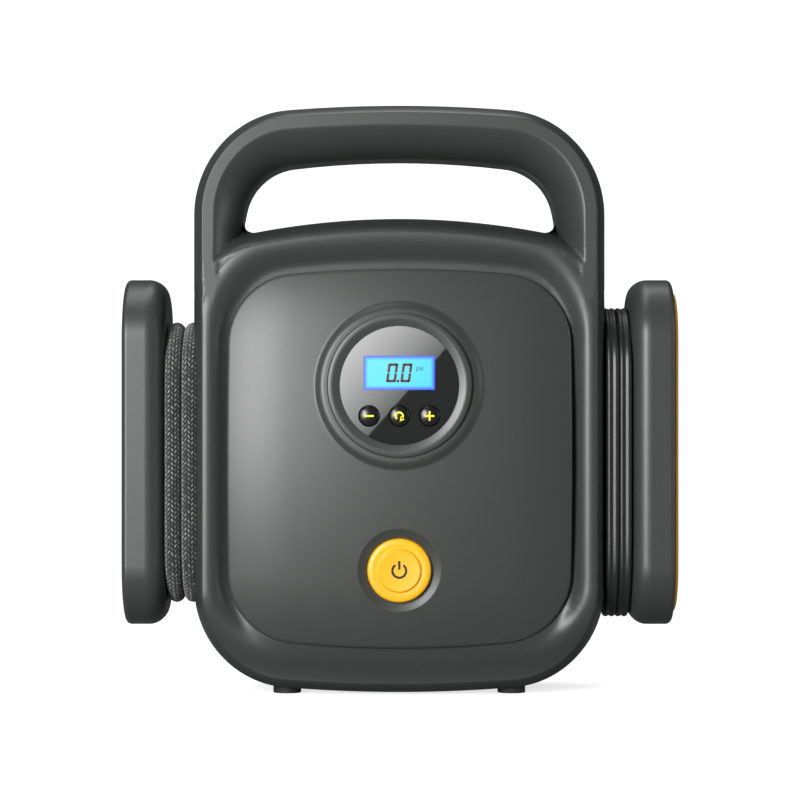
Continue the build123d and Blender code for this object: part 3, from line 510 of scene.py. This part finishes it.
def triangles(points, edges, loops):
    """Triangulates points in the plane, inside the first loop and outside the others."""
    out = delaunay_2d_cdt([Vector(p) for p in points], edges, [], 0, 1e-7)
    verts = np.array([tuple(v) for v in out[0]])
    faces = np.array([tuple(f) for f in out[2]])
    middles = verts[faces].mean(axis=1)
    good = depth_in(middles, loops[0]) > 1e-4
    for loop in loops[1:]:
        good &= depth_in(middles, loop) < -1e-4
    return verts, faces[good]


def mesh_data(name, mesh):
    """Mesh data from a bmesh, which is then freed."""
    data = bpy.data.meshes.new(name)
    mesh.to_mesh(data)
    mesh.free()
    return data


def smooth_data(name, mesh, sharp_degrees):
    """Mesh data shaded smooth, with sharp edges above an angle."""
    data = mesh_data(name, mesh)
    data.shade_smooth()
    data.set_sharp_from_angle(angle=math.radians(sharp_degrees))
    return data


def set_back(made, back_y):
    """Moves the new vertices of an extrusion to a depth in mm."""
    for part in made:
        if isinstance(part, bmesh.types.BMVert):
            part.co.y = back_y * MM


def relief(name, outer, holes, extra, depth, back_y):
    """A moulded face: front skin at depth(x, z), a flat back and walls round each edge. In mm."""
    verts, faces = triangles(np.concatenate([outer] + holes + [extra]), [], [outer] + holes)
    mesh = bmesh.new()
    front_y = depth(verts)
    front = [mesh.verts.new((x * MM, y * MM, z * MM)) for (x, z), y in zip(verts, front_y)]
    for face in faces:
        mesh.faces.new([front[i] for i in face])
    loose = [v for v in mesh.verts if not v.link_faces]
    bmesh.ops.delete(mesh, geom=loose, context="VERTS")
    rim = [e for e in mesh.edges if e.is_boundary]
    made = bmesh.ops.extrude_edge_only(mesh, edges=rim)["geom"]
    set_back(made, back_y)
    back_edges = [e for e in made if isinstance(e, bmesh.types.BMEdge)]
    bmesh.ops.triangle_fill(mesh, use_beauty=False, use_dissolve=False, edges=back_edges)
    bmesh.ops.remove_doubles(mesh, verts=mesh.verts, dist=1e-6)
    bmesh.ops.recalc_face_normals(mesh, faces=mesh.faces)
    return link(name, smooth_data(name, mesh, 42))


def grid(low, high, step):
    """Points of a triangular grid between two corners."""
    xs = np.arange(low[0], high[0], step)
    zs = np.arange(low[1], high[1], step * 0.866)
    points = [(x + (step / 2 if k % 2 else 0), z) for k, z in enumerate(zs) for x in xs]
    return np.array(points)


def fill(low, high, step, loops, clearance):
    """Grid points that keep a clearance from every point of the loops."""
    points = grid(low, high, step)
    near = np.concatenate(loops)
    gap = np.concatenate([np.sqrt(((points[k:k + 2000, None, :] - near[None]) ** 2).sum(2)).min(1)
                          for k in range(0, len(points), 2000)])
    return points[gap > clearance]


def side_roll(distance, width, drop):
    """Crisp-edged roll: nothing beyond width, then a slope that steepens to the full drop at the edge."""
    e = np.clip(1 - distance / width, 0, 1)
    slope = np.sqrt(e * e + crisp**2) - crisp
    return drop * (straight_share * slope + (1 - straight_share) * (1 - np.sqrt(1 - np.minimum(e, 1) ** 2)))


def bead(distance, crest, radius):
    """Round bead: how far its skin lies behind the crest line. It runs on straight from 40 degrees."""
    limit = math.radians(40)
    away = np.abs(distance - crest)
    turn = radius * math.sin(limit)
    round_part = radius - np.sqrt(radius**2 - np.minimum(away, turn) ** 2)
    return round_part + np.maximum(away - turn, 0) * math.tan(limit)


def ease(t):
    """Goes smoothly from 0 to 1 while t does."""
    t = np.clip(t, 0, 1)
    return t * t * (3 - 2 * t)


def soft_low(a, b, k):
    """The lower of two surfaces, with the crease between them rounded."""
    h = np.clip(0.5 + 0.5 * (b - a) / k, 0, 1)
    return b * (1 - h) + a * h - k * h * (1 - h)


housing_low, housing_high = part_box("main_housing")
front_low, front_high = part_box("front_housing")
half = housing_high.x / MM
base = housing_low.z / MM
top = housing_high.z / MM
rim_y = front_low.y / MM
split_y = front_high.y / MM
body_top = 204.3
roll_width = 4.7                     # the skin turns back to the parting line over this width
crown_bow = 1200                     # the top and the base are parts of parabolas this flat
shoulder_bow = 650
grip_bow = 760
crown_drop = half**2 / crown_bow
shoulder_drop = half**2 / shoulder_bow
body_corner = 31.0
base_corner = 45
outline = contour([(-half, top - crown_drop, 0), (-half, base + crown_drop, crown_drop),
                   (half, base + crown_drop, 0), (half, top - crown_drop, crown_drop)],
                  [47, base_corner, base_corner, 47], 1.5)
body_line = contour([(-half, body_top - shoulder_drop, 0), (-half, base + crown_drop, crown_drop),
                     (half, base + crown_drop, 0), (half, body_top - shoulder_drop, shoulder_drop)],
                    [body_corner, base_corner, base_corner, body_corner], 1.5)
open_half = 68.6
open_top_half = 63.1
open_low = body_top - open_half**2 / shoulder_bow
open_high = body_top + 25.5
open_high_end = open_high - open_top_half**2 / grip_bow
open_top_bow = open_high - open_high_end
hole = contour([(-open_half, open_low, open_half**2 / -shoulder_bow), (open_half, open_low, 0),
                (open_top_half, open_high_end, open_top_bow), (-open_top_half, open_high_end, 0)],
               [4.5, 4.5, 24, 24], 1.2)
far_below = -60                      # the grip's inner side runs on down under the body
deep = contour([(-open_half, far_below, 0), (open_half, far_below, 0), (open_half, open_low, 0),
                (open_top_half, open_high_end, open_top_bow), (-open_top_half, open_high_end, 0),
                (-open_half, open_low, 0)], [4, 4, 12, 24, 24, 12], 1.5)
rim_half = half - roll_width
rim_top = body_top - 6.6 - shoulder_drop
rim_base = base + roll_width + crown_drop
rim_line = contour([(-rim_half, rim_top, 0), (-rim_half, rim_base, crown_drop), (rim_half, rim_base, 0),
                    (rim_half, rim_top, shoulder_drop)], [33, 39, 39, 33], 1.5)
panel_low, panel_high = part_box("front_panel")
panel_half = panel_high.x / MM + 0.8
panel_base = panel_low.z / MM
panel_top = panel_high.z / MM
panel_bow = 5.0
panel_side_bow = 0.8
panel_line = contour([(-panel_half, panel_top - panel_bow, panel_side_bow),
                      (-panel_half, panel_base + panel_bow, panel_bow),
                      (panel_half, panel_base + panel_bow, panel_side_bow),
                      (panel_half, panel_top - panel_bow, panel_bow)], [31, 31, 31, 31], 1.5)
bead_crest = 2.0                     # where the rim stands out most, from its outer line
bead_radius = 7.0
valley_depth = 4.8
valley_reach = 10.8                  # width of the bead and the valley where the rim is widest
band_inset = 9.4                     # the flat front of the handle ends here
chin_drop = 7.0                      # how far the lower rim falls back at its outer edge
chin_inner_drop = 1.0
chin_power = 1.3
crisp = 0.03                         # size of the sharp start of a roll, as a share of its width
straight_share = 0.3                 # of a side's roll
grip_straight_share = 0.34
leg_recede, leg_top, leg_span = 8, 178, 40
shoulder_extra = 1.9                 # the body's roll is wider by this at its top
crease = 1.8                         # rounding of the crease between handle and body
lip_width = 1.2
open_depth = 60.0                    # behind everything: no skin here


def front_depth(points):
    """Depth of the front housing's skin: the handle's band and grip, the rim, its valley and its chin."""
    edge = depth_in(points, outline)
    body = depth_in(points, body_line)
    grip = -depth_in(points, deep)
    rim_in = depth_in(points, rim_line)
    panel_out = -depth_in(points, panel_line)
    roll = split_y - rim_y
    from_band = np.clip(edge - band_inset, 0, None)
    grip_slope = from_band / np.maximum(from_band + np.clip(grip, 0, None), 0.01)
    grip_drop = roll * (grip_straight_share * (np.sqrt(grip_slope**2 + crisp**2) - crisp)
                        + (1 - grip_straight_share) * (1 - np.sqrt(1 - np.minimum(grip_slope, 0.999) ** 2)))
    handle = rim_y + np.maximum(side_roll(edge, roll_width, roll), grip_drop)
    handle = np.where(grip < 0, open_depth, handle + leg_recede * ease((leg_top - points[:, 1]) / leg_span))
    across = np.clip(rim_in, 0, None) + np.clip(panel_out, 0, None)
    scaled = np.clip(rim_in, 0, None) * valley_reach / np.maximum(across, valley_reach)
    crest = bead_crest * ease((np.abs(points[:, 0]) - 55) / 25)
    under = ease((45 - points[:, 1]) / 35)
    share = np.clip(rim_in, 0, None) / np.maximum(across, 1.0)
    face = np.minimum(bead(scaled, crest, bead_radius), valley_depth) * (1 - under)
    face += under * (chin_drop - (chin_drop - chin_inner_drop) * share**chin_power)
    start = bead(0.0, crest, bead_radius) * (1 - under) + chin_drop * under
    at_top = ease((points[:, 1] - 150) / 30)
    at_middle = ease((82 - np.abs(points[:, 0])) / 18)
    width = roll_width + shoulder_extra * at_top * at_middle
    shell = rim_y + start + side_roll(body, width, 1.0) * (roll - start)
    shell = np.where(rim_in > 0, rim_y + face, shell)
    shell = np.where(body < 0, open_depth, shell)
    merged = soft_low(handle, shell, crease)
    lip = rim_y + side_roll(-depth_in(points, hole), lip_width, roll)
    lowest = np.maximum(merged, lip)
    return np.clip(np.where(edge < 0.02, split_y, np.minimum(lowest, split_y)), rim_y, split_y)


# Points of the mesh: rows along the edges where the skin turns sharply, and a grid between them.
upper_part = 150                     # the shoulder and the handle are above this
extra = []
for inset in (0.1, 0.35, 0.8, 1.5, 2.4, 3.4, 4.1, 4.5, 4.7, 4.9, 5.4, 6.4):
    extra.append(offset_loop(outline, inset))
for inset in (0.15, 0.4, 0.8, 1.3, 2.2, 3.4, 4.8, 6.4, 8.0):
    extra.append(offset_loop(hole, -inset))
for inset in (-0.25, 0.0, 0.25, 0.8, 1.8, 3.0, 4.4, 6.0, 7.6, 9.2):
    extra.append(offset_loop(rim_line, inset))
for inset in (0.2, 0.7, 1.4, 2.4, 3.6, 4.9, 6.0):
    loop = offset_loop(body_line, inset)
    extra.append(loop[loop[:, 1] > upper_part])
for inset in (-1.2, -0.3, 0.0, 0.3, 1.2, 2.6):
    loop = offset_loop(outline, band_inset + inset)
    extra.append(loop[loop[:, 1] > upper_part])
mesh_points = fill((-half, base), (half, top), 1.7, extra + [outline, hole, panel_line], 0.8)
extra = np.concatenate(extra + [mesh_points])
extra = extra[(depth_in(extra, outline) > 0.05) & (depth_in(extra, hole) < -0.1)
              & (depth_in(extra, panel_line) < -0.3)]
front = relief("front_shell", outline, [hole, panel_line], extra, front_depth, split_y)
front.data.materials.append(moulded)
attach(front, "inflator")
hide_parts("front_housing")

# ---- front panel ----
# A separate ABS moulding, domed like a pillow, that snaps into the valley. It carries the raised boss
# of the read-out and the sloping recess of the power button.
gauge_low, gauge_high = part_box("gauge_bezel")
gauge_z = (gauge_low.z + gauge_high.z) / 2 / MM
gauge_radius = (gauge_high.x - gauge_low.x) / 2 / MM
power_low, power_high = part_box("power_button")
power_z = (power_low.z + power_high.z) / 2 / MM
button_radius = 13.5
recess_radius = 17.6
recess_depth = 1.1
boss_radius = 35.5
boss_height = 1.5
boss_slope = 3.6
edge_radius = 0.9
brow_width = 28                      # the face bends back a little more in this band along its edge
brow_drop = 1.6
dome_apex = -36.0
dome_radius = 560.0
dome_middle = (panel_base + panel_top) / 2
panel_seat = panel_high.y / MM


def dome(points):
    """Depth of the pillow that the panel's face is part of."""
    reach = (points[:, 0] ** 2 + (points[:, 1] - dome_middle) ** 2)
    return dome_apex + dome_radius - np.sqrt(dome_radius**2 - reach)


def panel_depth(points):
    """Depth of the panel's skin, with its rolled edge, the boss and the recess."""
    skin = dome(points)
    edge = depth_in(points, panel_line)
    roll = np.clip(1 - edge / edge_radius, 0, 0.98)
    brow = np.clip(1 - edge / brow_width, 0, 1)
    skin = skin + edge_radius * (1 - np.sqrt(1 - roll**2)) + brow_drop * brow**2.2
    gauge_r = np.hypot(points[:, 0], points[:, 1] - gauge_z)
    skin = skin - boss_height * ease((boss_radius + 0.5 - gauge_r) / boss_slope)
    power_r = np.hypot(points[:, 0], points[:, 1] - power_z)
    slope = np.clip((recess_radius - power_r) / (recess_radius - button_radius - 0.6), 0, 1)
    return np.minimum(skin + recess_depth * slope, panel_seat - 0.8)


def ring(radius, z, count):
    """Points round a circle on the centre line of the face."""
    angles = np.linspace(0, 2 * math.pi, count, endpoint=False)
    return np.stack([radius * np.cos(angles), z + radius * np.sin(angles)], axis=1)


gauge_steps = 160
button_steps = 96
gauge_hole = ring(gauge_radius - 0.2, gauge_z, gauge_steps)
button_hole = ring(button_radius + 0.35, power_z, button_steps)
extra = [offset_loop(panel_line, inset) for inset in (0.12, 0.3, 0.55, 0.9, 1.5, 2.4, 3.6, 5.2, 7.0, 9.0)]
extra += [ring(r, gauge_z, gauge_steps)
          for r in (30.9, 31.8, 32.8, 33.8, 34.6, 35.1, 35.4, 35.6, 35.8, 36.1, 36.8)]
extra += [ring(r, power_z, button_steps)
          for r in (14.1, 14.4, 15.0, 15.7, 16.4, 17.0, 17.35, 17.6, 17.8, 18.3)]
mesh_points = fill((-panel_half, panel_base), (panel_half, panel_top), 2.4, extra + [panel_line], 1.0)
extra = np.concatenate(extra + [mesh_points])
extra = extra[(depth_in(extra, panel_line) > 0.1)
              & (np.hypot(extra[:, 0], extra[:, 1] - gauge_z) > gauge_radius)
              & (np.hypot(extra[:, 0], extra[:, 1] - power_z) > button_radius + 0.5)]
panel = relief("face_panel", panel_line, [gauge_hole, button_hole], extra, panel_depth, panel_seat)
panel.data.materials.append(moulded)
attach(panel, "inflator")
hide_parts("front_panel")

# ---- read-out ----
# A satin ring with a bevelled inner edge holds a gloss black acrylic lens. The display shows through a
# window in it, lit cyan from behind, with dark slanted digits.
satin_black = grain(material("moulded_abs_ring", "#3a3d3b", 0.36), 0.5, 0.006, "#383b39", "#3d403e", 4.0)


def lathe(name, profile, z, steps):
    """Turns a closed (radius, y) profile round the axis of the read-out or button."""
    mesh = bmesh.new()
    rings = []
    for radius, y in profile:
        if radius < 1e-6:
            rings.append([mesh.verts.new((0, y * MM, z * MM))])
        else:
            rings.append([mesh.verts.new((radius * math.cos(2 * math.pi * i / steps) * MM, y * MM,
                                          (z + radius * math.sin(2 * math.pi * i / steps)) * MM))
                          for i in range(steps)])
    closed = profile[0] != profile[-1] and profile[0][0] > 0 and profile[-1][0] > 0
    pairs = list(zip(rings, rings[1:])) + ([(rings[-1], rings[0])] if closed else [])
    for a, b in pairs:
        for i in range(steps):
            j = (i + 1) % steps
            quad = [a[i % len(a)], a[j % len(a)], b[j % len(b)], b[i % len(b)]]
            unique = list(dict.fromkeys(quad))
            if len(unique) > 2:
                mesh.faces.new(unique)
    bmesh.ops.recalc_face_normals(mesh, faces=mesh.faces)
    return link(name, smooth_data(name, mesh, 35))


def rounded(points, radii, steps=5):
    """A profile with its corners rounded."""
    made = []
    count = len(points)
    for i in range(count):
        r = radii[i]
        here = np.array(points[i], float)
        if r == 0:
            made.append(tuple(here))
            continue
        a = np.array(points[i - 1], float) - here
        b = np.array(points[(i + 1) % count], float) - here
        a /= np.linalg.norm(a)
        b /= np.linalg.norm(b)
        start, end = here + a * r, here + b * r
        for t in np.linspace(0, 1, steps):
            made.append(tuple((1 - t) ** 2 * start + 2 * t * (1 - t) * here + t * t * end))
    return made


bezel_front = gauge_low.y / MM
bezel_back = gauge_high.y / MM
lens_low, lens_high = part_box("display_lens")
lens_y = lens_low.y / MM
lens_radius = (lens_high.x - lens_low.x) / 2 / MM
lens_thickness = 1.4
bore = lens_radius + 0.05
ledge = lens_radius - 1.5
bezel_profile = rounded(
    [(gauge_radius, bezel_back - 1.5), (gauge_radius, bezel_front + 0.2), (28.2, bezel_front),
     (bore, bezel_front + 0.85), (bore, lens_y + lens_thickness), (ledge, lens_y + lens_thickness),
     (ledge, bezel_back - 0.2), (27.0, bezel_back - 0.2), (27.0, bezel_back - 1.5)],
    [0, 0.9, 0.6, 0.15, 0, 0, 0, 0, 0])
bezel = lathe("readout_ring", bezel_profile, gauge_z, gauge_steps)
bezel.data.materials.append(satin_black)
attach(bezel, "inflator")
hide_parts("gauge_bezel")


def plate_mesh(name, loops, y_front, y_back):
    """A flat plate from loops in the face plane (first the outline, then its holes), in mm."""
    edges = []
    start = 0
    for loop in loops:
        edges += [(start + i, start + (i + 1) % len(loop)) for i in range(len(loop))]
        start += len(loop)
    verts, faces = triangles(np.concatenate(loops), edges, loops)
    mesh = bmesh.new()
    flat = [mesh.verts.new((x * MM, y_front * MM, z * MM)) for x, z in verts]
    for face in faces:
        mesh.faces.new([flat[i] for i in face])
    made = bmesh.ops.extrude_face_region(mesh, geom=mesh.faces[:])["geom"]
    set_back(made, y_back)
    bmesh.ops.recalc_face_normals(mesh, faces=mesh.faces)
    return mesh_data(name, mesh)


def marks_mesh(name, loops, y_front, y_back):
    """Several flat marks in one mesh."""
    joined = bmesh.new()
    for loop in loops:
        part = plate_mesh("mark", [loop], y_front, y_back)
        joined.from_mesh(part)
        bpy.data.meshes.remove(part)
    return mesh_data(name, joined)


def rectangle(x, z, width, height, slant=0.0):
    """Corners of an upright or slanted bar."""
    return np.array([(x + sx * width / 2 + sz * slant * height / 2, z + sz * height / 2)
                     for sx, sz in ((-1, -1), (1, -1), (1, 1), (-1, 1))])


def arc_band(outer_radius, inner_radius, angles):
    """An arc with a width: out along one radius and back along the other."""
    outer_arc = [(outer_radius * math.cos(a), outer_radius * math.sin(a)) for a in angles]
    inner_arc = [(inner_radius * math.cos(a), inner_radius * math.sin(a)) for a in angles[::-1]]
    return np.array(outer_arc + inner_arc)


lcd_low, lcd_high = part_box("lcd_module")
lcd_z = (lcd_low.z + lcd_high.z) / 2 / MM
window_width, window_height = 30.0, 14.4
key_z = 119.7
key_pitch = 12.7
key_hole = 4.6
lens_loops = [ring(lens_radius, gauge_z, 128), rectangle(0, lcd_z, window_width, window_height)]
lens_loops += [ring(key_hole, key_z, 40) + np.array((x, 0.0)) for x in (-key_pitch, 0, key_pitch)]
lens = link("lens", plate_mesh("lens", lens_loops, lens_y, lens_y + lens_thickness))
lens.data.materials.append(material("gloss_acrylic_black", "#222323", 0.012))
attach(lens, "inflator")
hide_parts("display_lens")

glow = material("lit_display", "#061018", 0.15)
glow_tree = glow.node_tree
glow_place = node(glow_tree, "TexCoord")
glow_shift = node(glow_tree, "Mapping", {"Vector": (glow_place, "Object"), "Location": (0, 0, -lcd_z * MM)})
glow_axes = node(glow_tree, "SeparateXYZ", {"Vector": (glow_shift, "Vector")})
glow_border = 2.2                    # width of the deeper blue edge
sides = []
for axis, size in (("X", window_width), ("Z", window_height)):
    away = node(glow_tree, "Math", {0: (glow_axes, axis)}, operation="ABSOLUTE")
    reach = {"Value": (away, 0), "From Min": (size / 2 - glow_border) * MM, "From Max": size / 2 * MM}
    sides.append(node(glow_tree, "MapRange", reach, interpolation_type="SMOOTHSTEP"))
farther = node(glow_tree, "Math", {0: (sides[0], "Result"), 1: (sides[1], "Result")}, operation="MAXIMUM")
glow_colour = node(glow_tree, "MixRGB", {"Fac": (farther, 0), "Color1": srgb("#44e4fa"),
                                         "Color2": srgb("#2348ff")})
glow_shader = glow_tree.nodes["Principled BSDF"]
glow_tree.links.new(glow_colour.outputs[0], glow_shader.inputs["Emission Color"])
glow_shader.inputs["Emission Strength"].default_value = 0.95
screen_loop = rectangle(0, lcd_z, window_width - 0.02, window_height - 0.02)
screen = link("display_face", plate_mesh("display_face", [screen_loop], lens_y + 0.35, lens_y + 1.3))
screen.data.materials.append(glow)
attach(screen, "inflator")

ink = material("display_ink", "#4a2630", 0.5)
digit_height, digit_width, stroke, slant = 8.0, 4.2, 1.1, 0.14
segments = []
for x in (-3.0, 3.0):
    for side in (-1, 1):
        for level in (-1, 1):
            cx = x + side * (digit_width - stroke) / 2
            cz = level * digit_height / 4
            bar = rectangle(cx + slant * cz, lcd_z + cz, stroke, digit_height / 2 - stroke * 0.3, slant)
            segments.append(bar)
    for level in (-1, 1):
        cz = level * (digit_height - stroke) / 2
        segments.append(rectangle(x + slant * cz, lcd_z + cz, digit_width - 1.1 * stroke, stroke, slant))
segments.append(rectangle(slant * -digit_height / 2, lcd_z - digit_height / 2 + 0.55, 1.1, 1.1))
label_curve = bpy.data.curves.new("unit_label", "FONT")
label_curve.body = "psi"
label_curve.size = 2.9 * MM
label_curve.extrude = 0.04 * MM
label_holder = link("unit_label", label_curve)
bpy.context.view_layer.update()
graph = bpy.context.evaluated_depsgraph_get()
label_mesh = bpy.data.meshes.new_from_object(label_holder.evaluated_get(graph))
bpy.data.objects.remove(label_holder)
label_mesh.transform(Matrix.Translation((7.0 * MM, (lens_y + 0.34) * MM, (lcd_z + 1.0) * MM))
                     @ Matrix.Rotation(math.radians(90), 4, "X"))
label = link("unit_label", label_mesh)
label.data.materials.clear()
label.data.materials.append(material("display_label", "#1d4a86", 0.5))
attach(label, "inflator")
digits = link("digits", marks_mesh("digits", segments, lens_y + 0.28, lens_y + 0.4))
digits.data.materials.append(ink)
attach(digits, "inflator")

# ---- keys ----
# Three gloss black ABS domes with yellow printed signs: less, step and more. Each has a flange behind the
# lens that keeps it in, and presses a switch on the board.
key_gloss = material("gloss_key", "#121313", 0.27)
key_print = material("yellow_print", "#f4e61c", 0.5)
dome_edge = 4.35
flange_radius = 5.1
dome_steps = 12
key_signs = {"button_minus": (-key_pitch, "minus_key"), "button_mode": (0.0, "mode_key"),
             "button_plus": (key_pitch, "plus_key")}
for cad_name, (x, body) in key_signs.items():
    key_low, key_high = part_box(cad_name)
    crest = key_low.y / MM
    profile = [(0.0, crest)]
    for i in range(1, dome_steps + 1):
        r = dome_edge * i / dome_steps
        profile.append((r, crest + 1.05 * (r / dome_edge) ** 2 + (0.35 if i == dome_steps else 0)))
    key_back = key_high.y / MM
    profile += [(dome_edge, crest + 2.4), (flange_radius, crest + 2.6), (flange_radius, key_back),
                (0.0, key_back)]
    cap = lathe(cad_name + "_cap", profile, key_z, 64)
    cap.data.transform(Matrix.Translation((x * MM, 0, 0)))
    cap.data.materials.append(key_gloss)
    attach(cap, body)
    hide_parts(cad_name)
    if body == "mode_key":
        sweep_angles = np.linspace(math.radians(-50), math.radians(230), 40)
        marks = [arc_band(1.9, 1.1, sweep_angles), np.array([(0.2, -2.3), (2.2, -1.5), (0.6, 0.0)])]
    else:
        marks = [rectangle(0, 0, 4.0, 0.8)]
        if body == "plus_key":
            marks = [np.array([(-2, -0.4), (-0.4, -0.4), (-0.4, -2), (0.4, -2), (0.4, -0.4), (2, -0.4),
                               (2, 0.4), (0.4, 0.4), (0.4, 2), (-0.4, 2), (-0.4, 0.4), (-2, 0.4)])]
    marks = [mark + np.array((x, key_z)) for mark in marks]
    sign_piece = link(cad_name + "_sign", marks_mesh(cad_name + "_sign", marks, crest - 0.06, crest + 0.5))
    sign_piece.data.materials.append(key_print)
    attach(sign_piece, body)

# ---- power button ----
# One yellow ABS cap: a rolled outer ring, a step, and a dished disc with a printed power sign. A flange
# behind the panel keeps it in, and it presses the large switch on the board.
yellow = grain(material("moulded_abs_yellow", "#f8b414", 0.36), 0.5, 0.006, "#f6b112", "#fab818", 4.0)
cap_front = power_low.y / MM
cap_back = power_high.y / MM
cap_flange = 15.0
dish_depth, dish_radius, dish_rise = 0.7, 7.4, 0.45
cap_profile = rounded(
    [(0.0, cap_front + dish_depth), (dish_radius, cap_front + 0.25), (8.9, cap_front + 0.1),
     (9.2, cap_front + 1.5), (11.6, cap_front + 1.15), (button_radius, cap_front + 1.7),
     (button_radius, cap_front + 7.6), (cap_flange, cap_front + 7.6), (cap_flange, cap_back),
     (0.0, cap_back)],
    [0, 1.2, 0.45, 0.5, 1.2, 1.3, 0, 0, 0, 0])
button = lathe("power_cap", cap_profile, power_z, 128)
button.data.materials.append(yellow)
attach(button, "power_key")
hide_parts("power_button")
sign_radius, sign_line = 3.4, 1.0
arc_angles = np.linspace(math.radians(125), math.radians(415), 60)
sign_loops = [arc_band(sign_radius, sign_radius - sign_line, arc_angles), rectangle(0, 2.3, sign_line, 3.6)]
sign_loops = [loop + np.array((0, power_z)) for loop in sign_loops]
sign_data = marks_mesh("power_sign", sign_loops, cap_front + 0.3, cap_front + 1.2)
for v in sign_data.vertices:
    r = math.hypot(v.co.x, v.co.z - power_z * MM) / MM
    surface = cap_front + dish_depth - dish_rise * r / dish_radius
    v.co.y = (surface - 0.03 if v.co.y < (cap_front + 0.8) * MM else surface + 0.4) * MM
sign_piece = link("power_sign", sign_data)
sign_piece.data.materials.append(material("black_print", "#0c0b09", 0.6))
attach(sign_piece, "power_key")

# ---- rear shell, flanges, pump and fittings ----
# The rear shell, flanges and covers are the same moulded plastic, and the lid is the yellow one. The
# pump, the plug and the fittings have the finish of their own material. Screws hold them.
rubber = grain(material("moulded_rubber", "#232424", 0.7), 0.9, 0.02, "#202121", "#282929")
steel = grain(material("zinc_plated_steel", "#b9bab8", 0.35, Metallic=1.0), 0.8, 0.004, "#b2b3b1", "#bfc0be")
nickel = grain(material("nickel_plate", "#d2cfc8", 0.2, Metallic=1.0), 0.8, 0.002, "#cdcac3", "#d8d5ce")
brass = grain(material("turned_brass", "#c9a050", 0.28, Metallic=1.0), 0.6, 0.004, "#c39a4a", "#cfa658")
cast = grain(material("cast_aluminium", "#b4b6b8", 0.55, Metallic=1.0), 1.2, 0.03, "#a9abad", "#bcbec0")
dark_plastic = grain(material("black_nylon", "#1d1e1e", 0.5), 0.7, 0.01, "#1b1c1c", "#222323")
green_mask = grain(material("solder_mask", "#0f4a2a", 0.3), 2.0, 0.01, "#0e4526", "#125230")
acetal = grain(material("white_acetal", "#dcdad2", 0.4), 1.0, 0.008, "#d7d5cd", "#e1dfd7")
finishes = {
    "charcoal_abs": moulded, "satin_black_abs": satin_black, "yellow_abs": yellow, "rubber_black": rubber,
    "steel_screw": steel, "motor_steel": steel, "brass": brass, "nickel": nickel, "cast_aluminium": cast,
    "black_nylon": dark_plastic, "green_board": green_mask, "white_acetal": acetal, "lcd_blue": dark_plastic,
    "key_black": key_gloss, "lens_black": key_gloss, "hose_braid": braid,
}
slots = {row["node"]: row["material_slot"] for row in frame["record"]["subparts"]}
for name, piece in frame["nodes"].items():
    piece.data.materials.clear()
    piece.data.materials.append(finishes[slots[name]])
for name in ("plug_body", "motor_end_cap", "cooling_fan"):
    frame["nodes"][name].data.materials[0] = dark_plastic
